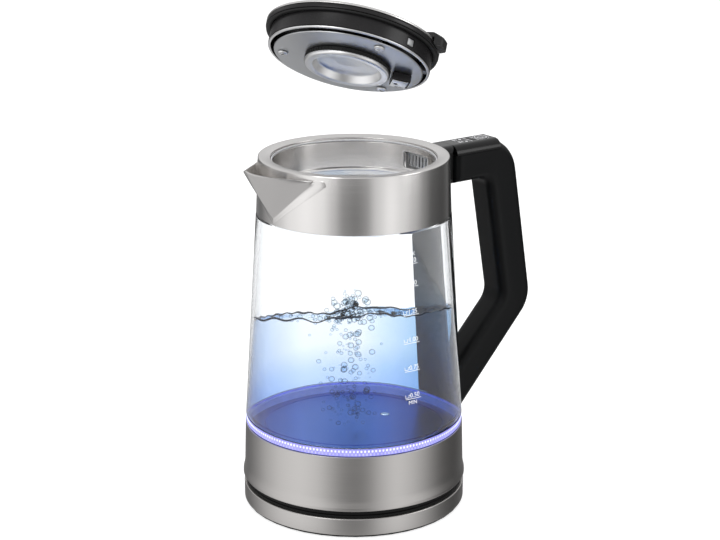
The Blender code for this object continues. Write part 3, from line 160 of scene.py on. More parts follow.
def only(obj):
    bpy.ops.object.select_all(action="DESELECT")
    obj.select_set(True)
    bpy.context.view_layer.objects.active = obj


def edit_all(obj):
    """Opens a piece in edit mode with all of it selected."""
    only(obj)
    bpy.ops.object.mode_set(mode="EDIT")
    bpy.ops.mesh.select_all(action="SELECT")


def named(name):
    """Names the piece that was just added, and its mesh with it."""
    obj = bpy.context.object
    obj.name = name
    obj.data.name = name
    return obj


def pen(name, corners):
    """One vertex extruded through the corners. Edit mode is left on."""
    bpy.ops.object.select_all(action="DESELECT")
    bpy.ops.mesh.primitive_plane_add(size=0.01, location=(0, 0, 0))
    obj = named(name)
    bpy.ops.object.mode_set(mode="EDIT")
    bpy.ops.mesh.select_mode(type="VERT")
    bpy.ops.mesh.select_all(action="SELECT")
    bpy.ops.mesh.merge(type="CENTER")
    bpy.ops.transform.translate(value=corners[0])
    for here, there in zip(corners, corners[1:]):
        step = Vector(there) - Vector(here)
        bpy.ops.mesh.extrude_region_move(TRANSFORM_OT_translate={"value": step})
    return obj


def set_down(obj, place):
    """Puts a finished shape in its place and keeps that place in the mesh itself."""
    only(obj)
    obj.matrix_world = place
    bpy.ops.object.transform_apply(location=True, rotation=True, scale=True)
    return obj


print("pen ready")

# %% Rounded corners for an outline


def eased(corners, steps=6):
    """Replaces each (a, b, radius) corner by an arc; (a, b) corners stay sharp."""
    points = []
    count = len(corners)
    for i, corner in enumerate(corners):
        here = Vector(corner[:2])
        radius = corner[2] if len(corner) > 2 else 0
        if not radius:
            points.append(tuple(here))
            continue
        before = (Vector(corners[i - 1][:2]) - here).normalized()
        after = (Vector(corners[(i + 1) % count][:2]) - here).normalized()
        half = math.acos(max(-1, min(1, before.dot(after)))) / 2
        centre = here + (before + after).normalized() * (radius / math.sin(half))
        first = here + before * radius / math.tan(half) - centre
        last = here + after * radius / math.tan(half) - centre
        sweep = math.atan2(first.x * last.y - first.y * last.x, first.dot(last))
        for k in range(steps + 1):
            points.append(tuple(Matrix.Rotation(sweep * k / steps, 2) @ first + centre))
    return points


square = [(0, 0, 1), (9, 0, 1), (9, 9, 1), (0, 9, 1)]
print("a square with eased corners has", len(eased(square)), "points")

# %% Spinning and pulling
SAME_PLACE = 1e-6


def tidy_shell():
    """Merges doubled points, turns the faces outwards and leaves edit mode."""
    bpy.ops.mesh.select_all(action="SELECT")
    bpy.ops.mesh.remove_doubles(threshold=SAME_PLACE)
    bpy.ops.mesh.normals_make_consistent(inside=False)
    bpy.ops.object.mode_set(mode="OBJECT")


def smooth(obj, angle=35):
    only(obj)
    bpy.ops.object.shade_smooth_by_angle(angle=math.radians(angle))
    return obj


def lathe(name, outline, place=KETTLE, steps=144, angle=35):
    """Spins an outline of (radius, height) in millimetres; from axis to axis, or closed."""
    corners = [(r * MM, 0, z * MM) for r, z in outline]
    if outline[0][0] > 0:
        corners.append(corners[0])
    obj = pen(name, corners)
    bpy.ops.mesh.select_all(action="SELECT")
    bpy.ops.mesh.spin(steps=steps, angle=TURN, center=(0, 0, 0), axis=(0, 0, 1))
    tidy_shell()
    return smooth(set_down(obj, place), angle)


def rod(name, radius, top, foot, place=KETTLE, steps=32):
    """A plain cylinder about the axis, to drill a round hole with."""
    return lathe(name, [(0, top), (radius, top), (radius, foot), (0, foot)], place, steps)


def hoop(name, inner, outer, top, foot, place=KETTLE, steps=64):
    """A ring of square section."""
    return lathe(name, [(inner, top), (outer, top), (outer, foot), (inner, foot)], place, steps)


def ringed(obj, count, place):
    """Repeats a small piece all the way round the upright axis, in one mesh."""
    edit_all(obj)
    bpy.ops.mesh.spin(steps=count, dupli=True, angle=TURN, center=(0, 0, 0), axis=(0, 0, 1))
    tidy_shell()
    return smooth(set_down(obj, place))


def pull(name, outline, start, end, along="Y", place=KETTLE, rim=0.0, segments=6):
    """Fills an outline and pulls it from start to end; rim rounds the edges round both ends."""
    spread = {
        "X": lambda a, b, h: Vector((h, a, b)) * MM,
        "Y": lambda a, b, h: Vector((a, h, b)) * MM,
        "Z": lambda a, b, h: Vector((a, b, h)) * MM,
    }[along]
    obj = pen(name, [spread(a, b, start) for a, b in outline])
    bpy.ops.mesh.select_all(action="SELECT")
    bpy.ops.mesh.edge_face_add()
    shift = spread(0, 0, end - start)
    bpy.ops.mesh.extrude_region_move(TRANSFORM_OT_translate={"value": shift})
    tidy_shell()
    if rim:
        round_rims(obj, "XYZ".index(along), rim, segments)
    return smooth(set_down(obj, place))


def round_rims(obj, axis, rim, segments):
    """Bevels the edges that lie flat in the two end faces."""
    only(obj)
    bpy.ops.object.mode_set(mode="EDIT")
    bpy.ops.mesh.select_mode(type="EDGE")
    bpy.ops.mesh.select_all(action="DESELECT")
    bpy.ops.object.mode_set(mode="OBJECT")
    points = obj.data.vertices
    for edge in obj.data.edges:
        ends = [points[i].co[axis] for i in edge.vertices]
        edge.select = abs(ends[0] - ends[1]) < SAME_PLACE
    bpy.ops.object.mode_set(mode="EDIT")
    bpy.ops.mesh.bevel(offset=rim * MM, segments=segments, profile=0.5, affect="EDGES")
    bpy.ops.mesh.select_mode(type="VERT")
    tidy_shell()


def block(name, size, centre, place=KETTLE, rim=0.4, segments=3):
    """A moulded block with softened edges."""
    bpy.ops.object.select_all(action="DESELECT")
    bpy.ops.mesh.primitive_cube_add(size=1, location=Vector(centre) * MM, scale=Vector(size) * MM)
    obj = named(name)
    bpy.ops.object.transform_apply(location=True, rotation=True, scale=True)
    if rim:
        edit_all(obj)
        bpy.ops.mesh.bevel(offset=rim * MM, segments=segments, profile=0.5, affect="EDGES")
        bpy.ops.object.mode_set(mode="OBJECT")
    return smooth(set_down(obj, place))


print("lathe, pull and block ready")

# %% Cutting and copying


def modified(obj, kind, **settings):
    """Gives a piece a modifier and applies it."""
    only(obj)
    change = obj.modifiers.new(kind.lower(), kind)
    for key, value in settings.items():
        setattr(change, key, value)
    bpy.ops.object.modifier_apply(modifier=change.name)


def combined(obj, tool, operation):
    """Combines a piece with a tool shape, and throws the tool away."""
    modified(obj, "BOOLEAN", operation=operation, solver="EXACT", object=tool)
    bpy.data.objects.remove(tool)


def cut(obj, *tools, join=False):
    """Takes each tool shape out of a piece, or joins it on."""
    for tool in tools:
        combined(obj, tool, "UNION" if join else "DIFFERENCE")
    return smooth(obj)


def copied(obj, name, move):
    """A second piece of the same shape, with its own mesh, moved by a matrix."""
    twin = obj.copy()
    twin.data = obj.data.copy()
    twin.name = name
    twin.data.name = name
    bpy.context.scene.collection.objects.link(twin)
    return set_down(twin, move)


def turned_about(place, degrees):
    return place @ Matrix.Rotation(math.radians(degrees), 4, "Z")


def beside_axis(x, y=0.0):
    """An upright place, measured in millimetres from the kettle's axis."""
    return Matrix.Translation((AXIS_X + x * MM, y * MM, 0))


def from_axis(x):
    """How far a point of the frame, in metres, stands from the kettle's axis, in millimetres."""
    return x / MM - AXIS_X / MM


print("cut and copied ready")

# %% [markdown]
# ## Finishes
#
# Each finish is a small network of nodes that reads the piece's own coordinates. Turned metal is
# brushed round the axis, so its fine lines follow a circle: the direction from the axis is
# stretched out short, and height and radius are packed tight, so that plain noise is drawn out
# into long hairlines.

# %% Node helpers


def new_finish(name, colour, rough, metal=0.0, **sockets):
    finish = bpy.data.materials.new(name)
    finish.use_nodes = True
    shader = finish.node_tree.nodes["Principled BSDF"]
    shader.inputs["Base Color"].default_value = (*colour, 1)
    shader.inputs["Roughness"].default_value = rough
    shader.inputs["Metallic"].default_value = metal
    for socket, value in sockets.items():
        shader.inputs[socket.replace("_", " ")].default_value = value
    return finish, finish.node_tree, shader


def add(tree, kind, **settings):
    node = tree.nodes.new(kind)
    for key, value in settings.items():
        setattr(node, key, value)
    return node


def own_place(tree, place):
    """Coordinates in metres measured from a piece's own axis, whatever way it is set."""
    coords = add(tree, "ShaderNodeTexCoord")
    mapping = add(tree, "ShaderNodeMapping", vector_type="TEXTURE")
    mapping.inputs["Location"].default_value = place.to_translation()
    mapping.inputs["Rotation"].default_value = place.to_euler()
    tree.links.new(coords.outputs["Object"], mapping.inputs["Vector"])
    return mapping.outputs["Vector"]


def math_node(tree, operation, first, second=None, third=None):
    node = add(tree, "ShaderNodeMath", operation=operation)
    for socket, value in zip(node.inputs, (first, second, third)):
        if isinstance(value, (int, float)):
            socket.default_value = value
        elif value is not None:
            tree.links.new(value, socket)
    return node.outputs["Value"]


def span(tree, value, low_end, high_end):
    """Spreads a value from 0 to 1 over low_end to high_end."""
    node = add(tree, "ShaderNodeMapRange")
    node.inputs["To Min"].default_value = low_end
    node.inputs["To Max"].default_value = high_end
    tree.links.new(value, node.inputs["Value"])
    return node.outputs["Result"]


def share_between(tree, value, first, last, **settings):
    """How far a value has come from first to last, as 0 to 1."""
    node = add(tree, "ShaderNodeMapRange", **settings)
    node.inputs["From Min"].default_value = first
    node.inputs["From Max"].default_value = last
    tree.links.new(value, node.inputs["Value"])
    return node.outputs["Result"]


def blend_colours(tree, factor, first, second):
    node = add(tree, "ShaderNodeMix", data_type="RGBA")
    node.inputs["A"].default_value = (*first, 1)
    node.inputs["B"].default_value = (*second, 1)
    tree.links.new(factor, node.inputs["Factor"])
    return node.outputs["Result"]


def noise(tree, vector, scale, detail=3.0):
    node = add(tree, "ShaderNodeTexNoise")
    node.inputs["Scale"].default_value = scale
    node.inputs["Detail"].default_value = detail
    tree.links.new(vector, node.inputs["Vector"])
    return node.outputs["Fac"]


def bump(tree, shader, height, distance, strength=1.0):
    node = add(tree, "ShaderNodeBump")
    node.inputs["Distance"].default_value = distance
    node.inputs["Strength"].default_value = strength
    tree.links.new(height, node.inputs["Height"])
    tree.links.new(node.outputs["Normal"], shader.inputs["Normal"])


def hairlines(tree, vector, along=2.2, across=2600.0):
    """Long fine lines that run round the axis."""
    split = add(tree, "ShaderNodeSeparateXYZ")
    tree.links.new(vector, split.inputs["Vector"])
    flat = add(tree, "ShaderNodeCombineXYZ")
    tree.links.new(split.outputs["X"], flat.inputs["X"])
    tree.links.new(split.outputs["Y"], flat.inputs["Y"])
    reach = add(tree, "ShaderNodeVectorMath", operation="LENGTH")
    tree.links.new(flat.outputs["Vector"], reach.inputs[0])
    heading = add(tree, "ShaderNodeVectorMath", operation="NORMALIZE")
    tree.links.new(flat.outputs["Vector"], heading.inputs[0])
    drawn = add(tree, "ShaderNodeVectorMath", operation="SCALE")
    tree.links.new(heading.outputs["Vector"], drawn.inputs[0])
    drawn.inputs["Scale"].default_value = along
    level = math_node(tree, "ADD", split.outputs["Z"], reach.outputs["Value"])
    packed = math_node(tree, "MULTIPLY", level, across)
    lift = add(tree, "ShaderNodeCombineXYZ")
    tree.links.new(packed, lift.inputs["Z"])
    total = add(tree, "ShaderNodeVectorMath", operation="ADD")
    tree.links.new(drawn.outputs["Vector"], total.inputs[0])
    tree.links.new(lift.outputs["Vector"], total.inputs[1])
    return noise(tree, total.outputs["Vector"], 1.0, 4.0)


print("node helpers ready")

# %% [markdown]
# ### Metals
#
# The jacket and the base ring are brushed stainless sheet. Real brushed steel smears reflections
# across its grain, which the shader's anisotropy does; the grain itself is in the roughness, in
# a slight change of tone and in a bump of a few thousandths of a millimetre.

# %% Brushed and polished steel
GRAIN_DEPTH = 0.000004


def brushed_steel(name, place, tone, rough, grain=1.0, across=2600.0, stretch=0.55):
    finish, tree, shader = new_finish(
        name, tone, rough, 1.0, Anisotropic=stretch, Anisotropic_Rotation=0.25
    )
    lines = hairlines(tree, own_place(tree, place), across=across)
    darker = tuple(part * 0.95 for part in tone)
    lighter = tuple(min(1, part * 1.05) for part in tone)
    tree.links.new(blend_colours(tree, lines, darker, lighter), shader.inputs["Base Color"])
    tree.links.new(span(tree, lines, rough - 0.04, rough + 0.05), shader.inputs["Roughness"])
    bump(tree, shader, lines, GRAIN_DEPTH * grain, 0.35)
    if stretch:
        around = add(tree, "ShaderNodeTangent", direction_type="RADIAL", axis="Z")
        tree.links.new(around.outputs["Tangent"], shader.inputs["Tangent"])
    return finish


def polished_steel(name, place, tone, rough):
    finish, tree, shader = new_finish(name, tone, rough, 1.0)
    smears = noise(tree, own_place(tree, place), 90.0, 4.0)
    tree.links.new(span(tree, smears, rough * 0.7, rough * 1.5), shader.inputs["Roughness"])
    darker = tuple(part * 0.93 for part in tone)
    tree.links.new(blend_colours(tree, smears, darker, tone), shader.inputs["Base Color"])
    return finish


STEEL = brushed_steel("jacket_steel", KETTLE, (0.66, 0.645, 0.63), 0.24, stretch=0.7)
SKIRT_STEEL = brushed_steel("foot_steel", KETTLE, (0.47, 0.455, 0.44), 0.34, stretch=0.5)
PLATE_STEEL = brushed_steel("floor_plate_steel", KETTLE, (0.68, 0.70, 0.72), 0.30, 1.0, 1400.0, 0.0)
LID_STEEL = brushed_steel("lid_disc_steel", LID, (0.64, 0.63, 0.62), 0.26, 1.0, 2400.0, 0.0)
SATIN = brushed_steel("lid_plate_satin", LID, (0.50, 0.51, 0.52), 0.36, 0.5, 1800.0, 0.0)
POLISHED = polished_steel("polished_steel", LID, (0.76, 0.76, 0.76), 0.30)
SCREW_STEEL = polished_steel("screw_steel", KETTLE, (0.62, 0.62, 0.62), 0.20)
ALUMINIUM = polished_steel("cast_aluminium", KETTLE, (0.70, 0.70, 0.71), 0.42)
VENT_STEEL = brushed_steel("vent_plate_steel", KETTLE, (0.44, 0.445, 0.45), 0.42, 1.0, 1800.0, 0.0)
print("metals:", STEEL.name, SATIN.name, POLISHED.name)

# %% [markdown]
# ### Plastics, rubber and boards
#
# The handle is a fine-textured black moulding, which is never quite one colour: the texture
# scatters a little light and hands leave it slightly smoother in places. The panel and the lid
# are gloss black, where only faint waviness in the reflections says that it is plastic and not
# paint.

# %% Moulded black, gloss black, silicone and circuit board


def moulded(name, place, tone, rough, texture, depth, shine=0.22):
    finish, tree, shader = new_finish(name, tone, rough, Specular_IOR_Level=shine)
    where = own_place(tree, place)
    grain = noise(tree, where, texture, 2.0)
    worn = noise(tree, where, 45.0, 3.0)
    halves = [math_node(tree, "MULTIPLY", part, 0.5) for part in (grain, worn)]
    mixed = math_node(tree, "ADD", *halves)
    tree.links.new(span(tree, mixed, rough - 0.07, rough + 0.09), shader.inputs["Roughness"])
    lighter = tuple(part * 1.7 + 0.0006 for part in tone)
    tree.links.new(blend_colours(tree, grain, tone, lighter), shader.inputs["Base Color"])
    bump(tree, shader, grain, depth, 0.5)
    return finish


def glossy(name, place, tone, rough):
    finish, tree, shader = new_finish(name, tone, rough, Specular_IOR_Level=0.25)
    where = own_place(tree, place)
    waves = noise(tree, where, 60.0, 1.0)
    dust = noise(tree, where, 1500.0, 2.0)
    tree.links.new(span(tree, dust, rough, rough + 0.08), shader.inputs["Roughness"])
    bump(tree, shader, waves, 0.00002, 0.35)
    return finish


BLACK = moulded("handle_black", KETTLE, (0.0026, 0.0028, 0.003), 0.36, 2600.0, 0.00002, 0.13)
BASE_BLACK = moulded("base_black", KETTLE, (0.004, 0.004, 0.004), 0.46, 1800.0, 0.00002, 0.12)
LID_BLACK = moulded("lid_black", LID, (0.009, 0.009, 0.009), 0.40, 2200.0, 0.00002)
GLOSS = glossy("panel_gloss_black", KETTLE, (0.003, 0.003, 0.003), 0.12)
LID_GLOSS = glossy("lid_gloss_black", LID, (0.009, 0.0085, 0.009), 0.22)
SILICONE = moulded("dark_silicone", KETTLE, (0.05, 0.05, 0.052), 0.55, 900.0, 0.00002)
CLEAR_SILICONE = moulded("grey_silicone", KETTLE, (0.42, 0.42, 0.43), 0.45, 900.0, 0.00001)
LID_SILICONE = moulded("lid_seal_silicone", LID, (0.006, 0.006, 0.006), 0.48, 900.0, 0.00002)
BOARD = moulded("circuit_board", KETTLE, (0.015, 0.10, 0.045), 0.40, 700.0, 0.00003)
print("plastics:", BLACK.name, GLOSS.name)

# %% [markdown]
# ### Glass, light and print
#
# The jug is clear borosilicate. It is thin, so it hardly bends what is behind it, and what makes
# it read as glass is the way it reflects at its edges, where painted shade also darkens its
# colour. The light ring glows blue-violet.

# %% Glass


def clear_glass(name):
    """Clear glass, faintly wavy, with painted shade that darkens its colour where it is seen at a glancing
    angle.
    """
    finish, tree, shader = new_finish(
        name, (0.93, 0.96, 0.97), 0.02, IOR=1.47, Transmission_Weight=1.0, Alpha=1.0
    )
    wobble = noise(tree, own_place(tree, KETTLE), 25.0, 1.0)
    tree.links.new(span(tree, wobble, 0.0, 0.02), shader.inputs["Roughness"])
    # Painted shade: the glass colour turns grey towards the edges that are seen at a glancing angle.
    edge = add(tree, "ShaderNodeLayerWeight")
    edge.inputs["Blend"].default_value = 0.5
    painted_edge_shade = math_node(tree, "POWER", edge.outputs["Facing"], 4.0)
    tone = blend_colours(tree, painted_edge_shade, (0.97, 0.98, 0.99), (0.50, 0.53, 0.56))
    tree.links.new(tone, shader.inputs["Base Color"])
    return finish


GLASS = clear_glass("borosilicate")
print("glass:", GLASS.name)

# %% Glow and print


def glowing(name, colour, strength, cell):
    """Lit plastic with its own light, or silicone with the ring's light painted on as a glow; the light is a
    little uneven, in patches of a cell's size.
    """
    finish, tree, shader = new_finish(name, colour, 0.25, Emission_Strength=strength)
    spots = noise(tree, own_place(tree, KETTLE), cell, 1.0)
    dim = tuple(part * 0.55 for part in colour)
    shade = blend_colours(tree, spots, dim, colour)
    tree.links.new(shade, shader.inputs["Emission Color"])
    tree.links.new(shade, shader.inputs["Base Color"])
    return finish


RING_GLOW = glowing("ring_glow", (0.27, 0.26, 0.74), 0.78, 160.0)
CELL_GLOW = glowing("cell_glow", (0.60, 0.62, 0.98), 0.95, 120.0)
LOW_GLOW = glowing("low_cell_glow", (0.36, 0.36, 0.86), 0.75, 120.0)
# The foot gasket is plain silicone: its glow is the light ring's light, painted on as emission.
GASKET_PAINTED_RING_LIGHT = glowing("silicone_painted_ring_light", (0.50, 0.50, 0.80), 0.45, 90.0)
PRINT, print_tree, print_shader = new_finish("white_print", (0.80, 0.83, 0.86), 0.5)
speckle = noise(print_tree, own_place(print_tree, KETTLE), 1800.0, 2.0)
patchy = blend_colours(print_tree, speckle, (0.70, 0.73, 0.77), (0.90, 0.92, 0.94))
print_tree.links.new(patchy, print_shader.inputs["Base Color"])
PANEL_PRINT = moulded("panel_print", KETTLE, (0.36, 0.36, 0.37), 0.45, 1500.0, 0.000005)
print("glow and print ready")

# %% [markdown]
# ## Dressing a piece
#
# Every new piece gets its finish and the body that it moves with, and the solids that it stands
# for are hidden.

# %% One call for all three


def dress(obj, body, finish, slot, *nodes):
    """Gives a piece its finish and its body, and hides the solids that it stands for. The slot is not used.
    """
    obj.data.materials.clear()
    obj.data.materials.append(finish)
    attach(obj, body)
    if nodes:
        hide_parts(*nodes)
    return obj


print("dress ready")

# %% [markdown]
# ## The power base
#
# A steel ring stands round a black moulding, with a black waist above it that reads as two dark
# grooves. The ring's upper edge is rolled in, and the mains lead leaves through a notch at the
# back.

# %% The base ring
RING_WALL = 1.2
base_ring = lathe(
    "base_ring_steel",
    eased(
        [
            (BASE_R - 2.0, RING_HIGH),
            (BASE_R, RING_HIGH, 0.7),
            (BASE_R, RING_LOW, 0.3),
            (BASE_R - RING_WALL, RING_LOW, 0.3),
            (BASE_R - RING_WALL, RING_HIGH - 1.0),
            (BASE_R - 2.0, RING_HIGH - 1.0),
        ]
    ),
)
bush_low, bush_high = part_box("cable_gland")
bush_r = (bush_high.x - bush_low.x) / 2 / MM
bush_z = (bush_high.z + bush_low.z) / 2 / MM
notch_wide = 2 * bush_r + 0.6
notch = block(
    "notch",
    (notch_wide, 12, bush_z + bush_r + 3),
    (0, BASE_R, (bush_z + bush_r) / 2 - 1.1),
    rim=0,
)
cut(base_ring, notch)
dress(base_ring, "base", SKIRT_STEEL, "brushed_steel", "base_ring")
print("base ring:", len(base_ring.data.polygons), "faces")

# %% The black waist and the underside
deck = high("base_top")
waist_r = BASE_R - 1.6
HUB_R = 19.6
base_top = lathe(
    "base_top_moulding",
    eased(
        [
            (HUB_R, deck, 0.4),
            (waist_r - 0.9, deck, 0.5),
            (waist_r, deck - 0.6, 0.4),
            (waist_r, RING_HIGH + 0.3),
            (waist_r - 0.8, RING_HIGH + 0.3),
            (waist_r - 0.8, RING_HIGH - 4.4),
            (waist_r - 2.6, RING_HIGH - 4.4),
            (waist_r - 2.6, deck - 2.0),
            (HUB_R, deck - 2.0),
        ],
        4,
    ),
)
notch = block("notch", (notch_wide, 16, 12), (0, waist_r, bush_z + bush_r - 5.6), rim=0)
cut(base_top, notch)
dress(base_top, "base", BASE_BLACK, "soft_black", "base_top")
bush = lathe(
    "cable_bush",
    eased([(3.1, 2.4, 0.3), (bush_r, 2.4, 0.5), (bush_r, -8.5), (3.1, -8.5)], 4),
    Matrix.Translation((AXIS_X, (BASE_R - 2.0) * MM, bush_z * MM))
    @ Matrix.Rotation(-math.pi / 2, 4, "X"),
    48,
)
dress(bush, "base", SILICONE, "silicone", "cable_gland")
print("waist radius", round(waist_r, 1), "mm")

# %% The live connector on the base
connector = lathe(
    "base_connector_moulding",
    eased(
        [
            (0, deck + 6.2),
            (4.0, deck + 6.2, 1.4),
            (4.0, deck - 0.6),
            (10.2, deck - 0.6),
            (10.2, deck + 4.2, 0.5),
            (13.0, deck + 4.2, 0.9),
            (13.0, deck - 0.2),
            (HUB_R - 0.5, deck - 0.2, 0.3),
            (HUB_R - 0.5, low("base_connector")),
            (0, low("base_connector")),
        ],
        4,
    ),
    steps=72,
)
dress(connector, "base", BASE_BLACK, "soft_black", "base_connector")
print("connector top", round(deck + 6.2, 1), "mm")

# %% [markdown]
# ## The steel skirt
#
# The jug's foot is a short steel skirt. It flares out over the last few millimetres to a rounded
# lip, and the black cover under it makes the upper of the two dark grooves.

# %% The skirt and the cover under it
skirt_top_r = FOOT_R + 0.3
skirt = lathe(
    "skirt_steel",
    eased(
        [
            (skirt_top_r - 1.0, SKIRT_HIGH),
            (skirt_top_r, SKIRT_HIGH, 0.3),
            (73.45, SKIRT_LOW + 7.0, 20.0),
            (SKIRT_LIP_R - 0.1, SKIRT_LOW + 2.2, 2.0),
            (SKIRT_LIP_R, SKIRT_LOW, 0.6),
            (SKIRT_LIP_R - 1.7, SKIRT_LOW, 0.2),
            (72.2, SKIRT_LOW + 4.0, 2.0),
        ]
    ),
    angle=30,
)
dress(skirt, "jug", SKIRT_STEEL, "brushed_steel", "skirt")
cover_low = low("jug_bottom_cover")
SOCKET_HOLE_R = 17.1
jug_cover = lathe(
    "jug_foot_cover",
    eased(
        [
            (SOCKET_HOLE_R, cover_low + 3.0),
            (69.3, cover_low + 3.0),
            (69.3, SKIRT_LOW + 9.0),
            (71.9, SKIRT_LOW + 9.0),
            (72.4, SKIRT_LOW - 0.3),
            (waist_r, SKIRT_LOW - 0.3),
            (waist_r, cover_low, 0.5),
            (SOCKET_HOLE_R, cover_low, 0.4),
        ],
        4,
    ),
)
WELL_R = 42
for index in range(3):
    turn = Matrix.Rotation(math.radians(30 + 120 * index), 4, "Z")
    spot = turn @ Vector((WELL_R, 0, cover_low))
    cut(jug_cover, block("well", (6.4, 6.4, 4.4), spot, rim=0))
dress(jug_cover, "jug", BASE_BLACK, "soft_black", "jug_bottom_cover")
print("skirt from", round(SKIRT_LOW, 1), "to", round(SKIRT_HIGH, 1), "mm")

# %% [markdown]
# ## The light ring
#
# Between skirt and glass sits a clear ring lit from below. Its face is moulded into two rows of
# little prisms, which break the glow into bright cells. One cell is modelled and spun round in
# copies.

# %% The ring and its cells
ring_low, ring_high = low("light_ring"), high("light_ring")
ring_r = half_width("light_ring")
ring_in = FOOT_R - 3.0
light_ring = lathe(
    "light_ring_guide",
    eased(
        [
            (ring_in, ring_high, 0.3),
            (ring_r - 0.3, ring_high, 0.5),
            (ring_r - 0.3, ring_low, 0.5),
            (ring_in, ring_low, 0.3),
        ],
        4,
    ),
)
dress(light_ring, "jug", RING_GLOW, "light_guide", "light_ring")

CELLS = 190


def cell_row(name, height, tall, shift):
    """One prism on the ring's face, then the same again all the way round."""
    cell = block(
        name,
        (0.9, 1.25, tall),
        Matrix.Rotation(shift, 3, "Z") @ Vector((ring_r - 0.35, 0, height)),
        Matrix.Identity(4),
        rim=0.25,
        segments=1,
    )
    return ringed(cell, CELLS, KETTLE)


for name, height, tall, shift, glow in (
    ("light_cells_upper", ring_high - 1.45, 1.5, 0.0, CELL_GLOW),
    ("light_cells_lower", ring_low + 1.35, 1.7, 0.5 * TURN / CELLS, LOW_GLOW),
):
    dress(cell_row(name, height, tall, shift), "jug", glow, "light_guide")
print(2 * CELLS, "cells round the ring")

# %% [markdown]
# ## The heater plate and the glass
#
# The jug's floor is a steel plate with a shallow step round it. The glass is one straight taper
# with a three millimetre wall, its lower rim ground flat and its upper rim tucked inside the
# collar.

# %% The plate in the floor
plate = lathe(
    "heater_plate_steel",
    eased(
        [
            (0, PLATE_HIGH),
            (57.6, PLATE_HIGH, 0.8),
            (58.3, PLATE_HIGH - 0.9, 0.3),
            (66.4, PLATE_HIGH - 0.9),
            (66.4, PLATE_HIGH - 1.9),
            (57.0, PLATE_HIGH - 1.9),
            (56.4, PLATE_HIGH - 1.0),
            (0, PLATE_HIGH - 1.0),
        ],
        4,
    ),
)
PROBE_X = 26
cut(plate, rod("probe_hole", 3.3, PLATE_HIGH + 3, PLATE_HIGH - 5, beside_axis(PROBE_X), 48))
dress(plate, "jug", PLATE_STEEL, "brushed_steel", "heater_plate")
print("plate top at", round(PLATE_HIGH, 1), "mm")

# %% The glass
wall = 3.0
tuck_r = COLLAR_LOW_R - 1.8
glass = lathe(
    "jug_glass",
    eased(
        [
            (tuck_r - wall, GLASS_HIGH, 0.8),
            (tuck_r, GLASS_HIGH, 0.8),
            (tuck_r, COLLAR_LOW + 0.6, 0.6),
            (NECK_R, COLLAR_LOW - 1.0, 1.6),
            (FOOT_R, GLASS_LOW, 0.6),
            (FOOT_R - wall, GLASS_LOW, 0.6),
            (glass_r(COLLAR_LOW - 2) - wall, COLLAR_LOW - 2.0, 8.0),
        ],
        6,
    ),
    steps=180,
    angle=40,
)
dress(glass, "jug", GLASS, "clear_glass", "glass_body")
neck_gasket = lathe(
    "neck_gasket_ring",
    [
        (tuck_r - wall, GLASS_HIGH + 1.6),
        (tuck_r + 0.5, GLASS_HIGH + 1.6),
        (tuck_r + 0.5, GLASS_HIGH - 3.0),
        (tuck_r + 0.2, GLASS_HIGH - 3.0),
        (tuck_r + 0.2, GLASS_HIGH + 0.3),
        (tuck_r - wall, GLASS_HIGH + 0.3),
    ],
)
dress(neck_gasket, "jug", CLEAR_SILICONE, "silicone", "neck_gasket")
foot_low, foot_high = low("foot_gasket"), min(high("foot_gasket"), PLATE_HIGH + 3.4)
gasket_in, gasket_out = 66.7, ring_in - 0.3
foot_gasket = lathe(
    "foot_gasket_ring",
    eased(
        [
            (gasket_in, foot_high, 0.5),
            (gasket_out, foot_high, 0.5),
            (gasket_out, foot_low),
            (gasket_in, foot_low),
        ],
        4,
    ),
)
# Painted light: the gasket glows with the ring's light painted on.
dress(foot_gasket, "jug", GASKET_PAINTED_RING_LIGHT, "silicone", "foot_gasket")
print("glass", len(glass.data.polygons), "faces")

# %% [markdown]
# ## The collar and its sleeve
#
# One sheet makes the outer wall, turns over in a broad satin face, steps down to the seat that
# the lid rests in, and runs on down as a sleeve with a rolled edge. A window on the handle's
# side lets steam through to the switch, and behind the spout are the slots that strain the
# water.

# %% The collar's section
mouth_r, bore_r, sheet = 53.9, 52.9, 0.9
seat = COLLAR_HIGH - 3.5
sleeve_low = COLLAR_HIGH - 23.0
face_in = COLLAR_HIGH - 0.9
collar = lathe(
    "collar_steel",
    eased(
        [
            (COLLAR_TOP_R, COLLAR_HIGH, 0.9),
            (COLLAR_LOW_R, COLLAR_LOW, 0.3),
            (COLLAR_LOW_R - sheet, COLLAR_LOW, 0.3),
            (COLLAR_TOP_R - sheet, COLLAR_HIGH - 1.0, 0.3),
            (mouth_r + sheet, face_in - sheet, 0.3),
            (mouth_r + sheet, seat - sheet),
            (bore_r + sheet, seat - sheet),
            (bore_r + sheet, sleeve_low, 0.3),
            (bore_r, sleeve_low - 0.8, 0.5),
            (bore_r - 0.8, sleeve_low, 0.4),
            (bore_r - 0.8, sleeve_low + 1.3, 0.4),
            (bore_r, sleeve_low + 2.2, 0.4),
            (bore_r, seat, 0.4),
            (mouth_r, seat, 0.3),
            (mouth_r, face_in, 0.5),
        ],
        4,
    ),
    steps=180,
    angle=30,
)
print("collar section spun;", len(collar.data.polygons), "faces")

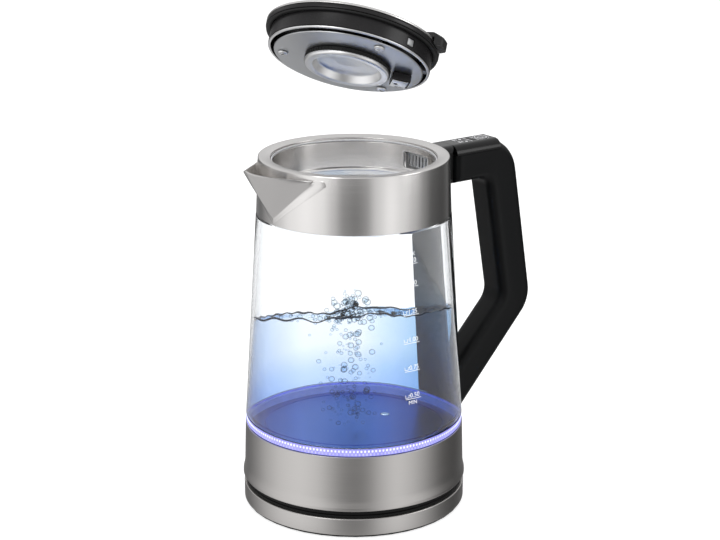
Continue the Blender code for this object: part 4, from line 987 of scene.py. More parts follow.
# %% Strainer slots and steam window
SLOTS = 7
SLOT_STEP = math.radians(4.8)
SPOUT_HALF_ANGLE = math.radians(35.0)
keel_z = COLLAR_LOW + 2.1
joint_z = COLLAR_HIGH - 3.3
slot_top = COLLAR_HIGH - 8.5
for index in range(SLOTS):
    turn = (index - (SLOTS - 1) / 2) * SLOT_STEP
    keel_here = keel_z + (joint_z - keel_z) * abs(turn) / SPOUT_HALF_ANGLE
    slot_low = max(COLLAR_LOW + 8.0, keel_here + 3.0)
    tool = block(
        "slot",
        (6.0, 2.0, slot_top - slot_low),
        (collar_r(slot_top), 0, (slot_top + slot_low) / 2),
        turned_about(KETTLE, 180 + math.degrees(turn)),
        rim=0.9,
        segments=4,
    )
    cut(collar, tool)
vent_low, vent_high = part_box("steam_vent")
vent_x = from_axis((vent_high.x + vent_low.x) / 2)
vent_z = (vent_high.z + vent_low.z) / 2 / MM
vent_wide, vent_tall = vent_high.y * 2 / MM, (vent_high.z - vent_low.z) / MM
window = block(
    "window",
    (10, vent_wide - 3.0, vent_tall - 3.0),
    (bore_r - 1.0, 0, vent_z),
    rim=1.2,
    segments=4,
)
cut(collar, window)
smooth(collar, 30)
dress(collar, "jug", STEEL, "brushed_steel", "collar")
print(SLOTS, "slots behind the spout")

# %% The vent plate in the window
VENT_SLITS, VENT_STEP = 7, 3.4
vent = block("steam_vent_plate", (sheet, vent_wide, vent_tall), (vent_x, 0, vent_z), rim=0.2)
for index in range(VENT_SLITS):
    across = (index - 3) * VENT_STEP
    tool = block("hole", (6, 1.5, vent_tall - 6.6), (vent_x, across, vent_z), rim=0.7, segments=4)
    cut(vent, tool)
dress(vent, "jug", VENT_STEEL, "satin_plate", "steam_vent")
seat_in, seat_out = 52.85, 53.6
seat_ring = lathe(
    "lid_seat_silicone",
    eased(
        [
            (seat_in, seat + 1.2, 0.3),
            (seat_out, seat + 1.2, 0.3),
            (seat_out, seat + 0.3, 0.1),
            (seat_in, seat + 0.3, 0.1),
        ],
        3,
    ),
)
dress(seat_ring, "lid_seat", CLEAR_SILICONE, "silicone", "lid_seat_ring")
print("vent plate and seat ring made")

# %% [markdown]
# ## The spout
#
# The spout is a V folded from sheet and welded flush over the slots. Its outer skin is ruled
# between the weld on the collar and the pouring lip. A grid gives the skin its faces, each point
# of the grid is moved to its place on that ruled surface, and the sheet's thickness is grown
# inwards from it.

# %% The ruled skin
SPOUT_REACH = 84.3
NOSE = 8.0
TIP_RISE = 1.0
FLANGE = 0.12
CORNER_SHARE = 0.9
CORNER_RISE = 3.4
LIP_SHARE = 0.97


def round_collar(degrees, z, out):
    radius = collar_r(z) + out
    turn = math.radians(degrees)
    return Vector((-radius * math.cos(turn), radius * math.sin(turn), z))


def seam_point(t):
    """The sheet's welded edge: a line up from the keel, then round a corner; t is 0 at the keel."""
    side = math.copysign(1, t)
    corner_z = joint_z - CORNER_RISE
    if abs(t) < CORNER_SHARE:
        along = abs(t) / CORNER_SHARE
        z = keel_z - 1.2 + (corner_z - keel_z + 1.2) * along
        return round_collar(side * 37.0 * along, z, 0.2)
    bend = (abs(t) - CORNER_SHARE) / (1 - CORNER_SHARE) * math.pi / 2
    z = corner_z + CORNER_RISE * math.sin(bend)
    return round_collar(side * (34.6 + 2.4 * math.cos(bend)), z, 0.2)


def fold_point(t):
    """Where the sheet leaves the collar and turns out to the lip."""
    z = keel_z + 2.0 + (joint_z - keel_z - 1.8) * abs(t) ** 1.05
    return round_collar(30.5 * t, z, 0.35)


def lip_point(t):
    """A point of the pouring lip, from the collar round the nose and back."""
    corner = fold_point(1.0)
    s = 1.0 - abs(t)
    x = (1 - s) ** 2 * corner.x - (1 - (1 - s) ** 2) * SPOUT_REACH
    y = (1 - s) ** 2 * corner.y + 2 * s * (1 - s) * NOSE
    z = joint_z + (COLLAR_HIGH + TIP_RISE - joint_z) * s**1.5
    return Vector((x, math.copysign(y, t), z))


def spout_skin(t, share):
    """A point of the skin: share 0 is the weld, FLANGE the fold and 1 the lip."""
    if share < FLANGE:
        point = seam_point(t).lerp(fold_point(t * LIP_SHARE), share / FLANGE)
        radius = collar_r(point.z) + 0.2 + 0.15 * share / FLANGE
        return Vector((point.x, point.y, 0)).normalized() * radius + Vector((0, 0, point.z))
    rise = (share - FLANGE) / (1 - FLANGE)
    point = fold_point(t * LIP_SHARE).lerp(lip_point(t * LIP_SHARE), rise)
    return point + Vector((point.x, point.y, 0)).normalized() * 0.8 * math.sin(math.pi * rise)


ACROSS, ALONG = 120, 25
bpy.ops.object.select_all(action="DESELECT")
bpy.ops.mesh.primitive_grid_add(x_subdivisions=ACROSS, y_subdivisions=ALONG, size=2)
spout = named("spout_sheet")
for vertex in spout.data.vertices:
    vertex.co = spout_skin(vertex.co.x, (vertex.co.y + 1) / 2) * MM
edit_all(spout)
bpy.ops.mesh.normals_make_consistent(inside=False)
bpy.ops.object.mode_set(mode="OBJECT")
KEEL_POINT = Vector((-0.075, 0, 0.222))
middle = min(spout.data.polygons, key=lambda face: (face.center - KEEL_POINT).length)
if middle.normal.x > 0:
    spout.data.flip_normals()
print("spout skin:", len(spout.data.polygons), "faces")

# %% The sheet's thickness
modified(spout, "SOLIDIFY", thickness=sheet * MM, offset=-1, use_even_offset=False)
modified(
    spout, "BEVEL", width=0.12 * MM, segments=2, limit_method="ANGLE", angle_limit=math.radians(60)
)
smooth(set_down(spout, KETTLE), 50)
dress(spout, "jug", STEEL, "brushed_steel", "spout")
print("spout reaches", round(SPOUT_REACH, 1), "mm from the axis")

# %% [markdown]
# ## The handle
#
# Seen from the side the handle is an arm, a grip that leans out and a leg that comes back to the
# foot. The outline carries the three bends; pulling it out sideways and rounding its rims gives
# the moulding. Where it meets the skirt and the strip behind the glass it is cut to their shape.

# %% The side outline
HALF_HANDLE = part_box("handle_shell")[1].y / MM
panel_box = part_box("control_panel")
PANEL_START, PANEL_END = (from_axis(corner.x) for corner in panel_box)
ARM_TOP = panel_box[1].z / MM
ARM_DEPTH, GRIP_DEPTH = 26.3, 26.4
ARM_LOW = ARM_TOP - ARM_DEPTH
ARM_ROUND = 6.8
LEG_X = 66.6
OUTER_TOP_X, OUTER_BEND_X = 128.6, 149.0
BEND_Z = 113.0
fall = ARM_TOP - BEND_Z
lean_out = OUTER_BEND_X - OUTER_TOP_X
grip_depth = GRIP_DEPTH * math.hypot(lean_out, fall) / fall
inner_top_x = OUTER_TOP_X + ARM_DEPTH * lean_out / fall - grip_depth
inner_bend_x = OUTER_BEND_X - grip_depth - 0.6
ARM_START = PANEL_START - 0.3
handle_outline = eased(
    [
        (ARM_START, ARM_LOW),
        (ARM_START, ARM_TOP),
        (OUTER_TOP_X, ARM_TOP, 27.0),
        (OUTER_BEND_X, BEND_Z, 24.0),
        (LEG_X, SKIRT_HIGH - 30.3),
        (LEG_X, SKIRT_HIGH + 5.7),
        (inner_bend_x, BEND_Z + 5.9, 12.0),
        (inner_top_x, ARM_LOW, 8.0),
    ],
    14,
)
handle = pull(
    "handle_moulding", handle_outline, -HALF_HANDLE, HALF_HANDLE, rim=ARM_ROUND, segments=8
)
print("handle top at", round(ARM_TOP, 1), "mm, half width", round(HALF_HANDLE, 1))

# %% Cut it to the skirt and make room for the panel
strip_out = 2.9
leg_tool = lathe(
    "leg_tool",
    [
        (0, SKIRT_LOW - 20),
        (74.3, SKIRT_LOW - 20),
        (74.3, SKIRT_LOW),
        (skirt_top_r + 0.3, SKIRT_HIGH),
        (skirt_top_r + 0.3, GLASS_LOW - 1.0),
        (glass_r(GLASS_LOW) + strip_out, GLASS_LOW - 1.0),
        (glass_r(GLASS_LOW + 40) + strip_out, GLASS_LOW + 40),
        (0, GLASS_LOW + 40),
    ],
)
panel_seat = panel_box[0].z / MM - 0.3
seat_tool = block(
    "seat_tool",
    (PANEL_END - ARM_START + 0.6, 40, 20),
    ((PANEL_END + ARM_START) / 2, 0, panel_seat + 10),
    rim=0,
)
cut(handle, leg_tool, seat_tool)
dress(handle, "jug", BLACK, "soft_black", "handle_shell", "handle_inner_cover")
print("panel seat at", round(panel_seat, 1), "mm")

# %% The boss between collar and handle
boss_start, boss_end = 56, ARM_START - 0.3
boss = pull(
    "handle_boss",
    [(boss_start, ARM_LOW), (boss_start, ARM_TOP), (boss_end, ARM_TOP), (boss_end, ARM_LOW)],
    -HALF_HANDLE,
    HALF_HANDLE,
    rim=ARM_ROUND,
    segments=8,
)
tool_low, tool_high = ARM_LOW - 5, ARM_TOP + 5
boss_tool = lathe(
    "boss_tool",
    [
        (0, tool_low),
        (collar_r(tool_low) + 0.15, tool_low),
        (collar_r(tool_high) + 0.15, tool_high),
        (0, tool_high),
    ],
)
cut(boss, boss_tool)
dress(boss, "jug", GLOSS, "gloss_black", "handle_mount")
strip_low, strip_high = low("handle_strip"), high("handle_strip")
STRIP_HALF = 14.2


def strip_point(turn, z, out):
    radius = glass_r(z) + out
    return Vector((radius * math.cos(turn), radius * math.sin(turn), z)) * MM


bpy.ops.object.select_all(action="DESELECT")
bpy.ops.mesh.primitive_grid_add(x_subdivisions=16, y_subdivisions=24, size=2)
strip = named("handle_strip_moulding")
for vertex in strip.data.vertices:
    z = strip_low + 0.2 + (strip_high - strip_low - 0.4) * (vertex.co.y + 1) / 2
    vertex.co = strip_point(vertex.co.x * math.radians(STRIP_HALF), z, 3.0)
modified(strip, "SOLIDIFY", thickness=2.6 * MM, offset=-1)
bpy.ops.object.mode_set(mode="EDIT")
tidy_shell()
smooth(set_down(strip, KETTLE))
dress(strip, "jug", BLACK, "soft_black", "handle_strip")
print("boss and strip made")

# %% [markdown]
# ## The control panel
#
# A thin gloss cap lies over the arm. Its section is the arm's rounded top, pulled along the arm.
# The power button is a round insert near the bend, with a smaller button and two lamps before
# it, and light printed marks. The print is made of plain bars and rings, laid a hair above the
# gloss.

# %% The gloss cap
cap_low = panel_box[0].z / MM


def crown(width, base, top, radius, steps=10):
    """The arm's rounded top, from one side over to the other, cut off level at its base."""
    points = []
    for side in (-1, 1):
        arc = []
        for k in range(steps + 1):
            angle = k / steps * math.pi / 2
            y = width - radius + radius * math.cos(angle)
            arc.append((side * y, max(base, top - radius + radius * math.sin(angle))))
        points += arc if side < 0 else arc[::-1]
    return points


CAP_WALL = 1.8
outer_arc = crown(HALF_HANDLE, cap_low, ARM_TOP, ARM_ROUND)
inner_arc = crown(HALF_HANDLE - CAP_WALL, cap_low, ARM_TOP - CAP_WALL, 5.0)
cap = pull("panel_cap", outer_arc + inner_arc[::-1], ARM_START - 0.1, PANEL_END, along="X")
POWER_X = 107.4
TEMP_X = 99.2
LAMP_X, LAMP_SIDE = 92.0, 3.5
power_place = beside_axis(POWER_X)
lamp_places = [beside_axis(LAMP_X, side * LAMP_SIDE) for side in (1, -1)]
power_hole = rod("power_hole", 5.25, ARM_TOP + 4, ARM_TOP - 6, power_place, 64)
temp_hole = block("temp_hole", (3.7, 8.5, 10), (TEMP_X, 0, ARM_TOP), rim=0.9, segments=4)
lamp_holes = [rod("lamp_hole", 1.35, ARM_TOP + 4, ARM_TOP - 6, place, 24) for place in lamp_places]
cut(cap, power_hole, temp_hole, *lamp_holes)
dress(cap, "jug", GLOSS, "gloss_black", "control_panel")
print("cap from", round(PANEL_START, 1), "to", round(PANEL_END, 1), "mm")

# %% Buttons and lamps
power_low = low("power_button")
power = lathe(
    "power_button_cap",
    eased(
        [
            (0, ARM_TOP + 0.05),
            (3.4, ARM_TOP + 0.05),
            (4.2, ARM_TOP + 0.2, 0.3),
            (5.0, ARM_TOP + 0.05, 0.3),
            (5.0, ARM_TOP - 2.1),
            (5.7, ARM_TOP - 2.1),
            (5.7, ARM_TOP - 2.9),
            (1.5, ARM_TOP - 2.9),
            (1.5, power_low),
            (0, power_low),
        ],
        3,
    ),
    power_place,
    72,
)
dress(power, "power_button", GLOSS, "gloss_black", "power_button")
temp_low = low("temperature_button")
temp = block("temperature_button_cap", (3.2, 8.0, 3.1), (TEMP_X, 0, ARM_TOP - 1.35), rim=0.5)
stem_top = ARM_TOP - 1.6
stem_z = (temp_low + stem_top) / 2
stem = block("stem", (2.0, 2.0, stem_top - temp_low), (TEMP_X, 0, stem_z), rim=0)
cut(temp, stem, join=True)
dress(temp, "temperature_button", GLOSS, "gloss_black", "temperature_button")
lamp_low = low("indicator_lamp_1")
lens = eased([(0, ARM_TOP + 0.1), (1.1, ARM_TOP + 0.1, 0.3), (1.1, lamp_low), (0, lamp_low)], 3)
for index, place in enumerate(lamp_places):
    lamp = lathe(f"indicator_lens_{index + 1}", lens, place, 24)
    dress(lamp, "jug", PANEL_PRINT, "white_print", f"indicator_lamp_{index + 1}")
print("buttons and lamps made")

# %% Printed marks on the panel


PRINT_THICK = 0.12


def mark(name, size, centre):
    """A flat printed bar on top of the arm."""
    bar = block(name, (*size, PRINT_THICK), (*centre, ARM_TOP + 0.08), rim=0)
    return dress(bar, "jug", PANEL_PRINT, "white_print")


for index, side in enumerate((1, -1)):
    mark(f"label_bar_{index + 1}", (1.0, 3.6), (86.3, side * 3.4))
    mark(f"label_tick_{index + 1}", (0.8, 2.4), (88.4, side * 3.4))
mark("divider_line", (0.45, 11.2), (95.6, 0))
mark("dash_upper", (0.45, 3.4), (101.4, 3.2))
mark("dash_lower", (0.45, 3.4), (101.4, -3.2))
mark_low = ARM_TOP + 0.02
ring_mark = hoop("power_ring_mark", 3.9, 4.5, ARM_TOP + 0.32, mark_low, power_place)
inner_mark = hoop("power_inner_mark", 1.7, 2.2, ARM_TOP + 0.16, mark_low, power_place)
cut(inner_mark, block("ring_gap", (2.0, 1.4, 2.0), (POWER_X - 2.0, 0, ARM_TOP), rim=0))
stroke = block(
    "power_stroke_mark", (2.0, 0.45, PRINT_THICK), (POWER_X - 2.0, 0, ARM_TOP + 0.12), rim=0
)
for piece in (inner_mark, ring_mark, stroke):
    dress(piece, "power_button", PANEL_PRINT, "white_print")
halo = hoop("power_halo_mark", 5.5, 5.8, ARM_TOP + 0.1, ARM_TOP - 0.5, power_place, 72)
for side in (1, -1):
    trim = block("trim", (20, 4, 6), (POWER_X, side * 7.2, ARM_TOP), rim=0)
    cut(halo, trim)
dress(halo, "jug", PANEL_PRINT, "white_print")
print("panel marks printed")

# %% [markdown]
# ## Volume marks
#
# The scale is printed on the glass at a quarter litre apart. Figures are text turned into a thin
# mesh and then wrapped: a point's sideways place becomes an angle round the axis, its height
# stays, and it takes the glass's radius there, so the print lies on the taper.

# %% Wrap print round the glass
MARKS_TURN = math.radians(-95.5)
MARK_STEP = 18.3
FIRST_MARK = 90.7
LINE_WIDTH = 0.30


def wrap(obj, z):
    """Lays a flat, thin shape drawn in the XY plane on the glass, its origin at a height."""
    for vertex in obj.data.vertices:
        across, up, lift = (part / MM for part in vertex.co)
        height = z + up
        radius = glass_r(height) + 0.06 + lift
        angle = MARKS_TURN + across / glass_r(height)
        vertex.co = Vector((radius * math.cos(angle), radius * math.sin(angle), height)) * MM
    return set_down(obj, KETTLE)


def figures(name, words, size, across, up, z):
    """Printed words on the glass."""
    bpy.ops.object.select_all(action="DESELECT")
    bpy.ops.object.text_add(location=(across * MM, up * MM, 0))
    obj = bpy.context.object
    obj.data.body = words
    obj.data.size = size * MM
    obj.data.extrude = 0.04 * MM
    obj.data.resolution_u = 3
    obj.name = name
    bpy.ops.object.convert(target="MESH")
    obj = bpy.context.object
    bpy.ops.object.transform_apply(location=True, rotation=True, scale=True)
    edit_all(obj)
    bpy.ops.mesh.remove_doubles(threshold=1e-7)
    bpy.ops.object.mode_set(mode="OBJECT")
    return wrap(obj, z)


def stroke_on_glass(name, size, across, up, z):
    """A printed bar, with enough points along it to bend with the glass."""
    bpy.ops.object.select_all(action="DESELECT")
    bpy.ops.mesh.primitive_cube_add(
        size=1, location=(across * MM, up * MM, 0), scale=(size[0] * MM, size[1] * MM, 0.08 * MM)
    )
    obj = bpy.context.object
    obj.name = name
    bpy.ops.object.transform_apply(location=True, rotation=True, scale=True)
    edit_all(obj)
    bpy.ops.mesh.subdivide(number_cuts=5)
    bpy.ops.object.mode_set(mode="OBJECT")
    return wrap(obj, z)


def printed(obj):
    return dress(obj, "jug", PRINT, "white_print")


# A little cup before each figure: its foot, its two sides and its handle.
CUP = (
    ((2.6, LINE_WIDTH), -3.2, 1.0),
    ((LINE_WIDTH, 2.0), -4.4, 2.0),
    ((LINE_WIDTH, 2.0), -2.0, 2.0),
    ((0.9, LINE_WIDTH), -1.5, 2.6),
)
labels = ["0.50", "0.75", "1.00", "1.25", "1.50", "1.70"]
for index, label in enumerate(labels):
    z = FIRST_MARK + MARK_STEP * min(index, 4) + (MARK_STEP * 0.8 if index == 5 else 0)
    tag = label.replace(".", "_")
    printed(figures(f"figure_{tag}", label, 4.3, -1.2, 0.9, z))
    printed(stroke_on_glass(f"rule_{tag}", (11.6, 0.32), 1.4, 0.0, z))
    for k, (size, across, up) in enumerate(CUP):
        printed(stroke_on_glass(f"cup_{tag}_{k}", size, across, up, z))
printed(figures("figure_min", "MIN", 3.6, -2.4, -3.6, FIRST_MARK))
top_mark = FIRST_MARK + MARK_STEP * 4.8
printed(figures("figure_max", "MAX", 3.6, -2.4, 5.2, top_mark))
print("marks from", FIRST_MARK, "to", round(top_mark, 1), "mm")

# %% [markdown]
# ## The lid
#
# The lid is modelled flat about the upright axis and set down tipped. From the top: a steel
# disc, a black flange with its seal, a gloss black plug with a bright trim ring, and a satin
# plate underneath that carries a dished steel bowl on a ribbed wall, three screws and the steam
# block.

# %% Flange, plug and trim
LID_STEPS = 180
FLANGE_TOP, SHELL_WALL = 4.1, 1.8
web = FLANGE_TOP - SHELL_WALL
TRIM_IN, TRIM_OUT = 50.2, 51.9
shell = lathe(
    "lid_shell_moulding",
    eased(
        [
            (0, -4.7),
            (18.5, -4.7, 3.0),
            (22.5, FLANGE_TOP, 1.2),
            (55.6, FLANGE_TOP, 0.6),
            (55.6, 1.5, 0.4),
            (52.0, 1.5, 0.3),
            (TRIM_OUT, -8.9),
            (TRIM_IN, -8.9),
            (TRIM_IN, web),
            (24.1, web),
            (19.7, -6.5),
            (0, -6.5),
        ],
        5,
    ),
    LID,
    LID_STEPS,
)
LATCH_TURN = 25.5
latch_z = -4.5
for side in (1, -1):
    place = turned_about(LID, side * LATCH_TURN)
    cut(shell, block("latch_window", (8, 6.0, 5.2), (52, 0, latch_z), place, rim=0.5))
dress(shell, "lid", LID_GLOSS, "gloss_black", "lid_shell")
trim = lathe(
    "lid_trim_steel",
    eased([(TRIM_IN, -9.2), (TRIM_OUT, -9.2, 0.3), (51.6, -10.2, 0.5), (TRIM_IN, -10.2)], 3),
    LID,
    LID_STEPS,
)
dress(trim, "lid", POLISHED, "bright_steel", "lid_trim_ring")
seal = lathe(
    "lid_seal_ring",
    eased([(52.4, 1.2), (55.4, 1.2, 0.3), (55.0, 0.0, 0.5), (53.6, 0.0, 0.3), (52.4, 0.4)], 4),
    LID,
    LID_STEPS,
)
dress(seal, "lid", LID_SILICONE, "silicone", "lid_seal")
top_disc = lathe(
    "lid_disc",
    eased([(22.8, 6.0, 0.4), (55.7, 6.0, 0.8), (55.7, 4.4, 0.2), (22.8, 4.4, 0.1)], 5),
    LID,
    LID_STEPS,
)
dress(top_disc, "lid", LID_STEEL, "brushed_steel", "lid_top_disc")
print("lid shell", len(shell.data.polygons), "faces")

# %% The grip bar, its posts and the thumb tab
bar_half = 22.1
lie_along = Matrix.Translation((0, 0, BAR_HEIGHT * MM)) @ Matrix.Rotation(math.pi / 2, 4, "Y")
bar = lathe(
    "grip_bar_steel",
    eased(
        [
            (0, bar_half + 2.0),
            (1.2, bar_half + 2.0),
            (1.2, bar_half),
            (3.0, bar_half, 0.6),
            (3.0, -bar_half, 0.6),
            (1.2, -bar_half),
            (1.2, -bar_half - 2.0),
            (0, -bar_half - 2.0),
        ],
        4,
    ),
    LID @ lie_along,
    72,
)
dress(bar, "lid_bar", POLISHED, "bright_steel", "lid_grip_bar")
TAB_FOOT = 6.3
DROOP = 4.8
tab = pull(
    "thumb_tab",
    eased(
        [
            (21.7, TAB_FOOT),
            (56.2, TAB_FOOT),
            (56.2, TAB_FOOT - DROOP, 0.6),
            (62.5, TAB_FOOT - DROOP, 1.4),
            (62.5, TAB_FOOT + 0.4, 2.4),
            (55.2, TAB_FOOT + 3.0, 2.0),
            (21.7, TAB_FOOT + 3.0),
        ],
        6,
    ),
    -11.5,
    11.5,
    place=Matrix.Identity(4),
)
plan = pull(
    "tab_plan",
    eased(
        [
            (22.7, -5.2),
            (55.6, -8.0, 3.0),
            (61.5, -5.0, 4.0),
            (61.5, 5.0, 4.0),
            (55.6, 8.0, 3.0),
            (22.7, 5.2),
        ],
        8,
    ),
    TAB_FOOT - DROOP - 1,
    TAB_FOOT + 4,
    along="Z",
    place=Matrix.Identity(4),
)
combined(tab, plan, "INTERSECT")
POST_X = 25.3
post_top = BAR_HEIGHT + 3.4
post_size = (5.2, 10.4, post_top - TAB_FOOT)
post_z = (post_top + TAB_FOOT) / 2
post = block("post", post_size, (POST_X, 0, post_z), Matrix.Identity(4), rim=0.6)
rear = block("grip_post_rear", post_size, (-POST_X, 0, post_z), Matrix.Identity(4), rim=0.8)
cut(tab, post, join=True)
for piece in (tab, rear):
    cut(piece, rod("bore", 1.5, 30, -30, lie_along))
    set_down(piece, LID)
dress(tab, "lid", LID_BLACK, "soft_black", "lid_tab")
dress(rear, "lid", LID_BLACK, "soft_black", "grip_saddle")
print("grip bar on two posts, thumb tab reaches 61.5 mm")

# %% The plate, the bowl and its ribbed wall
plate_top, plate_low = -10.9, -11.9
PLATE_IN, PLATE_R = 21.2, 47.8
under = lathe(
    "lid_under_plate",
    eased(
        [
            (PLATE_IN, plate_top),
            (PLATE_R, plate_top, 0.3),
            (PLATE_R, plate_low, 0.6),
            (PLATE_IN, plate_low),
        ],
        5,
    ),
    LID,
    LID_STEPS,
)
SCREW_TURN, SCREW_R = 15.5, 41.8
screw_places = [
    turned_about(LID, SCREW_TURN + 180 + 120 * index) @ Matrix.Translation((SCREW_R * MM, 0, 0))
    for index in range(3)
]
for place in screw_places:
    cut(under, rod("hole", 1.6, 0, -20, place))
dress(under, "lid", SATIN, "satin_plate", "lid_underplate")
foot = plate_low - 5.4
bowl_wall = hoop("bowl_wall_moulding", 25.8, 27.2, foot + 1.9, plate_low - 0.3, LID, 144)
dress(bowl_wall, "lid", LID_BLACK, "soft_black", "lid_bowl_wall")
RIBS = 72
rib_high, rib_low = plate_low - 0.5, foot + 2.1
rib = block(
    "bowl_ribs",
    (0.7, 1.0, rib_high - rib_low),
    (27.3, 0, (rib_high + rib_low) / 2),
    Matrix.Identity(4),
    rim=0.15,
    segments=1,
)
dress(ringed(rib, RIBS, LID), "lid", LID_BLACK, "soft_black")
bowl = lathe(
    "lid_bowl_steel",
    eased(
        [
            (0, plate_top + 1.2),
            (13.1, plate_top + 1.2, 2.0),
            (18.8, plate_low + 0.2, 2.0),
            (21.0, plate_low - 1.4),
            (22.9, foot + 2.2, 0.3),
            (27.6, foot + 2.2, 0.3),
            (28.0, foot, 2.0),
            (22.2, foot, 1.2),
            (19.9, plate_low - 0.4, 1.6),
            (9.0, plate_top + 0.2, 14.0),
            (0, plate_top + 0.3),
        ],
        8,
    ),
    LID,
    LID_STEPS,
    50,
)
dress(bowl, "lid", POLISHED, "bright_steel", "lid_bowl")
print(RIBS, "ribs round the bowl")

# %% Screws, steam block and catches
head_top = plate_low - 0.3
screw = lathe(
    "lid_screw_head_1",
    eased(
        [
            (0, head_top + 8.0),
            (1.2, head_top + 8.0),
            (1.2, head_top),
            (3.4, head_top, 0.2),
            (3.4, head_top - 0.7, 0.5),
            (2.4, head_top - 1.4, 1.0),
            (0, head_top - 1.45),
        ],
        4,
    ),
    Matrix.Identity(4),
    48,
)
for turn in (0, 90):
    place = turned_about(Matrix.Identity(4), turn)
    cut(screw, block("blade", (3.8, 0.8, 2.0), (0, 0, head_top - 1.6), place, rim=0))
for index, place in enumerate(screw_places):
    spot = turned_about(place, 25 + 40 * index)
    piece = copied(screw, f"lid_screw_steel_{index + 1}", spot)
    dress(piece, "lid", POLISHED, "bright_steel", f"lid_screw_{index + 1}")
bpy.data.objects.remove(screw)

DUCT_TURN = 27.0
duct_place = turned_about(LID, DUCT_TURN)
duct_screw = duct_place @ Matrix.Translation((32.2 * MM, 0, 0))
duct_top = plate_low - 0.3
duct = block("steam_block", (11.8, 12.6, 5.0), (34.8, 0, duct_top - 2.5), duct_place, rim=0.5)
slit = block("slit", (7, 7.4, 1.6), (41, 0, duct_top - 2.6), duct_place, rim=0)
cut(duct, slit, rod("well", 1.3, -13.2, -22, duct_screw))
dress(duct, "lid", LID_GLOSS, "soft_black", "steam_duct")
cover_z = duct_top - 5.6
cover = block(
    "steam_block_cover", (9.8, 11.4, 0.6), (34.2, 0, cover_z), duct_place, rim=0.15, segments=2
)
slot_tool = block("slot_tool", (6.4, 1.0, 4), (35.2, 4.2, cover_z), duct_place, rim=0)
cut(cover, rod("pierce", 1.5, -15, -22, duct_screw), slot_tool)
dress(cover, "lid", POLISHED, "bright_steel", "steam_duct_cover")
for name, side in (("latch_left", 1), ("latch_right", -1)):
    place = turned_about(LID, side * LATCH_TURN)
    catch = block(f"{name}_catch", (6.4, 5.4, 4.6), (48.6, 0, latch_z), place, rim=0.6, segments=4)
    dress(catch, name, VENT_STEEL, "satin_plate", name)
print("screws, steam block and catches made")

# %% [markdown]
# ## Solids that stay
#
# Some pieces are hidden inside or are plain enough already. They keep their shape and take a
# finish.

# %% Finish the solids that still show
KEPT = {
    BASE_BLACK: ("base_bottom", "jug_socket", "thermostat_unit"),
    SILICONE: ("foot_1", "foot_2", "foot_3", "foot_4"),
    SCREW_STEEL: (
        "bottom_screw_1",
        "bottom_screw_2",
        "bottom_screw_3",
        "handle_screw_1",
        "handle_screw_2",
    ),
    ALUMINIUM: ("heat_spreader", "heating_element"),
    PLATE_STEEL: ("temperature_probe",),
    BOARD: ("led_board", "control_board"),
    VENT_STEEL: ("power_switch", "temperature_switch"),
}
kept_pairs = [(name, finish) for finish, names in KEPT.items() for name in names]
for name, finish in kept_pairs:
    solid = frame["nodes"][name]
    for index in range(max(1, len(solid.material_slots))):
        if not solid.material_slots:
            solid.data.materials.append(finish)
        solid.material_slots[index].material = finish
print(len(kept_pairs), "solids keep their shape")

# %% [markdown]
# ## The water
#
# The water isn't part of the kettle, but the jug is shown boiling, so it is set inside as a
# prop. Its colour is painted light: a painted blue glow of the lit floor, strongest low down and
# pale at the top, and painted deeper shade to the left and right as the camera sees it. Its
# choppy surface slopes towards the camera so that it is seen nearly edge-on, which means that it
# looks tipped from the other sides. It rides with the jug and is marked as stage, so it is left
# out of the model.

# %% Water coloured with painted glow and shade
SEED = 11
random.seed(SEED)
VIEW_TURN = math.radians(-127.0)
WATER_TOP = 129.5
WATER_LOW = PLATE_HIGH + 0.1
HALF_ACROSS = 0.070
water_gap = 0.15


def see_through(name):
    """A finish built from a plain transparent shader, for props only."""
    finish = bpy.data.materials.new(name)
    finish.use_nodes = True
    tree = finish.node_tree
    tree.nodes.clear()
    output = add(tree, "ShaderNodeOutputMaterial")
    clear = add(tree, "ShaderNodeBsdfTransparent")
    return finish, tree, output, clear


def colour_stops(tree, value, first, last, between):
    """A ramp of colours from first, through (position, colour) pairs, to last."""
    node = add(tree, "ShaderNodeValToRGB")
    stops = node.color_ramp.elements
    stops[0].color = (*first, 1)
    stops[1].color = (*last, 1)
    for position, colour in between:
        stops.new(position).color = (*colour, 1)
    tree.links.new(value, node.inputs["Fac"])
    return node.outputs["Color"]


water_painted_light_finish, tree, output, clear = see_through("water_painted_glow_and_shade")
place = own_place(tree, KETTLE)
split = add(tree, "ShaderNodeSeparateXYZ")
tree.links.new(place, split.inputs["Vector"])
# Painted light: the lit floor's blue glow, strongest low down and fading to pale at the top.
painted_led_glow_by_height = colour_stops(
    tree,
    share_between(tree, split.outputs["Z"], WATER_LOW * MM, WATER_TOP * MM),
    (0.46, 0.62, 0.93),
    (0.96, 0.975, 0.99),
    ((0.22, (0.58, 0.72, 0.94)), (0.45, (0.86, 0.91, 0.975))),
)
# Painted shade: the water darkens to the left and right as the camera sees it.
sideways = add(tree, "ShaderNodeVectorMath", operation="DOT_PRODUCT")
sideways.inputs[1].default_value = (-math.sin(VIEW_TURN), math.cos(VIEW_TURN), 0)
tree.links.new(place, sideways.inputs[0])
edges = colour_stops(
    tree,
    share_between(tree, sideways.outputs["Value"], -HALF_ACROSS, HALF_ACROSS),
    (0.62, 0.70, 0.82),
    (0.42, 0.62, 0.78),
    (
        (0.10, (0.80, 0.86, 0.94)),
        (0.26, (0.97, 0.98, 0.99)),
        (0.54, (0.97, 0.98, 0.99)),
        (0.64, (0.82, 0.89, 0.95)),
        (0.80, (0.62, 0.76, 0.88)),
    ),
)
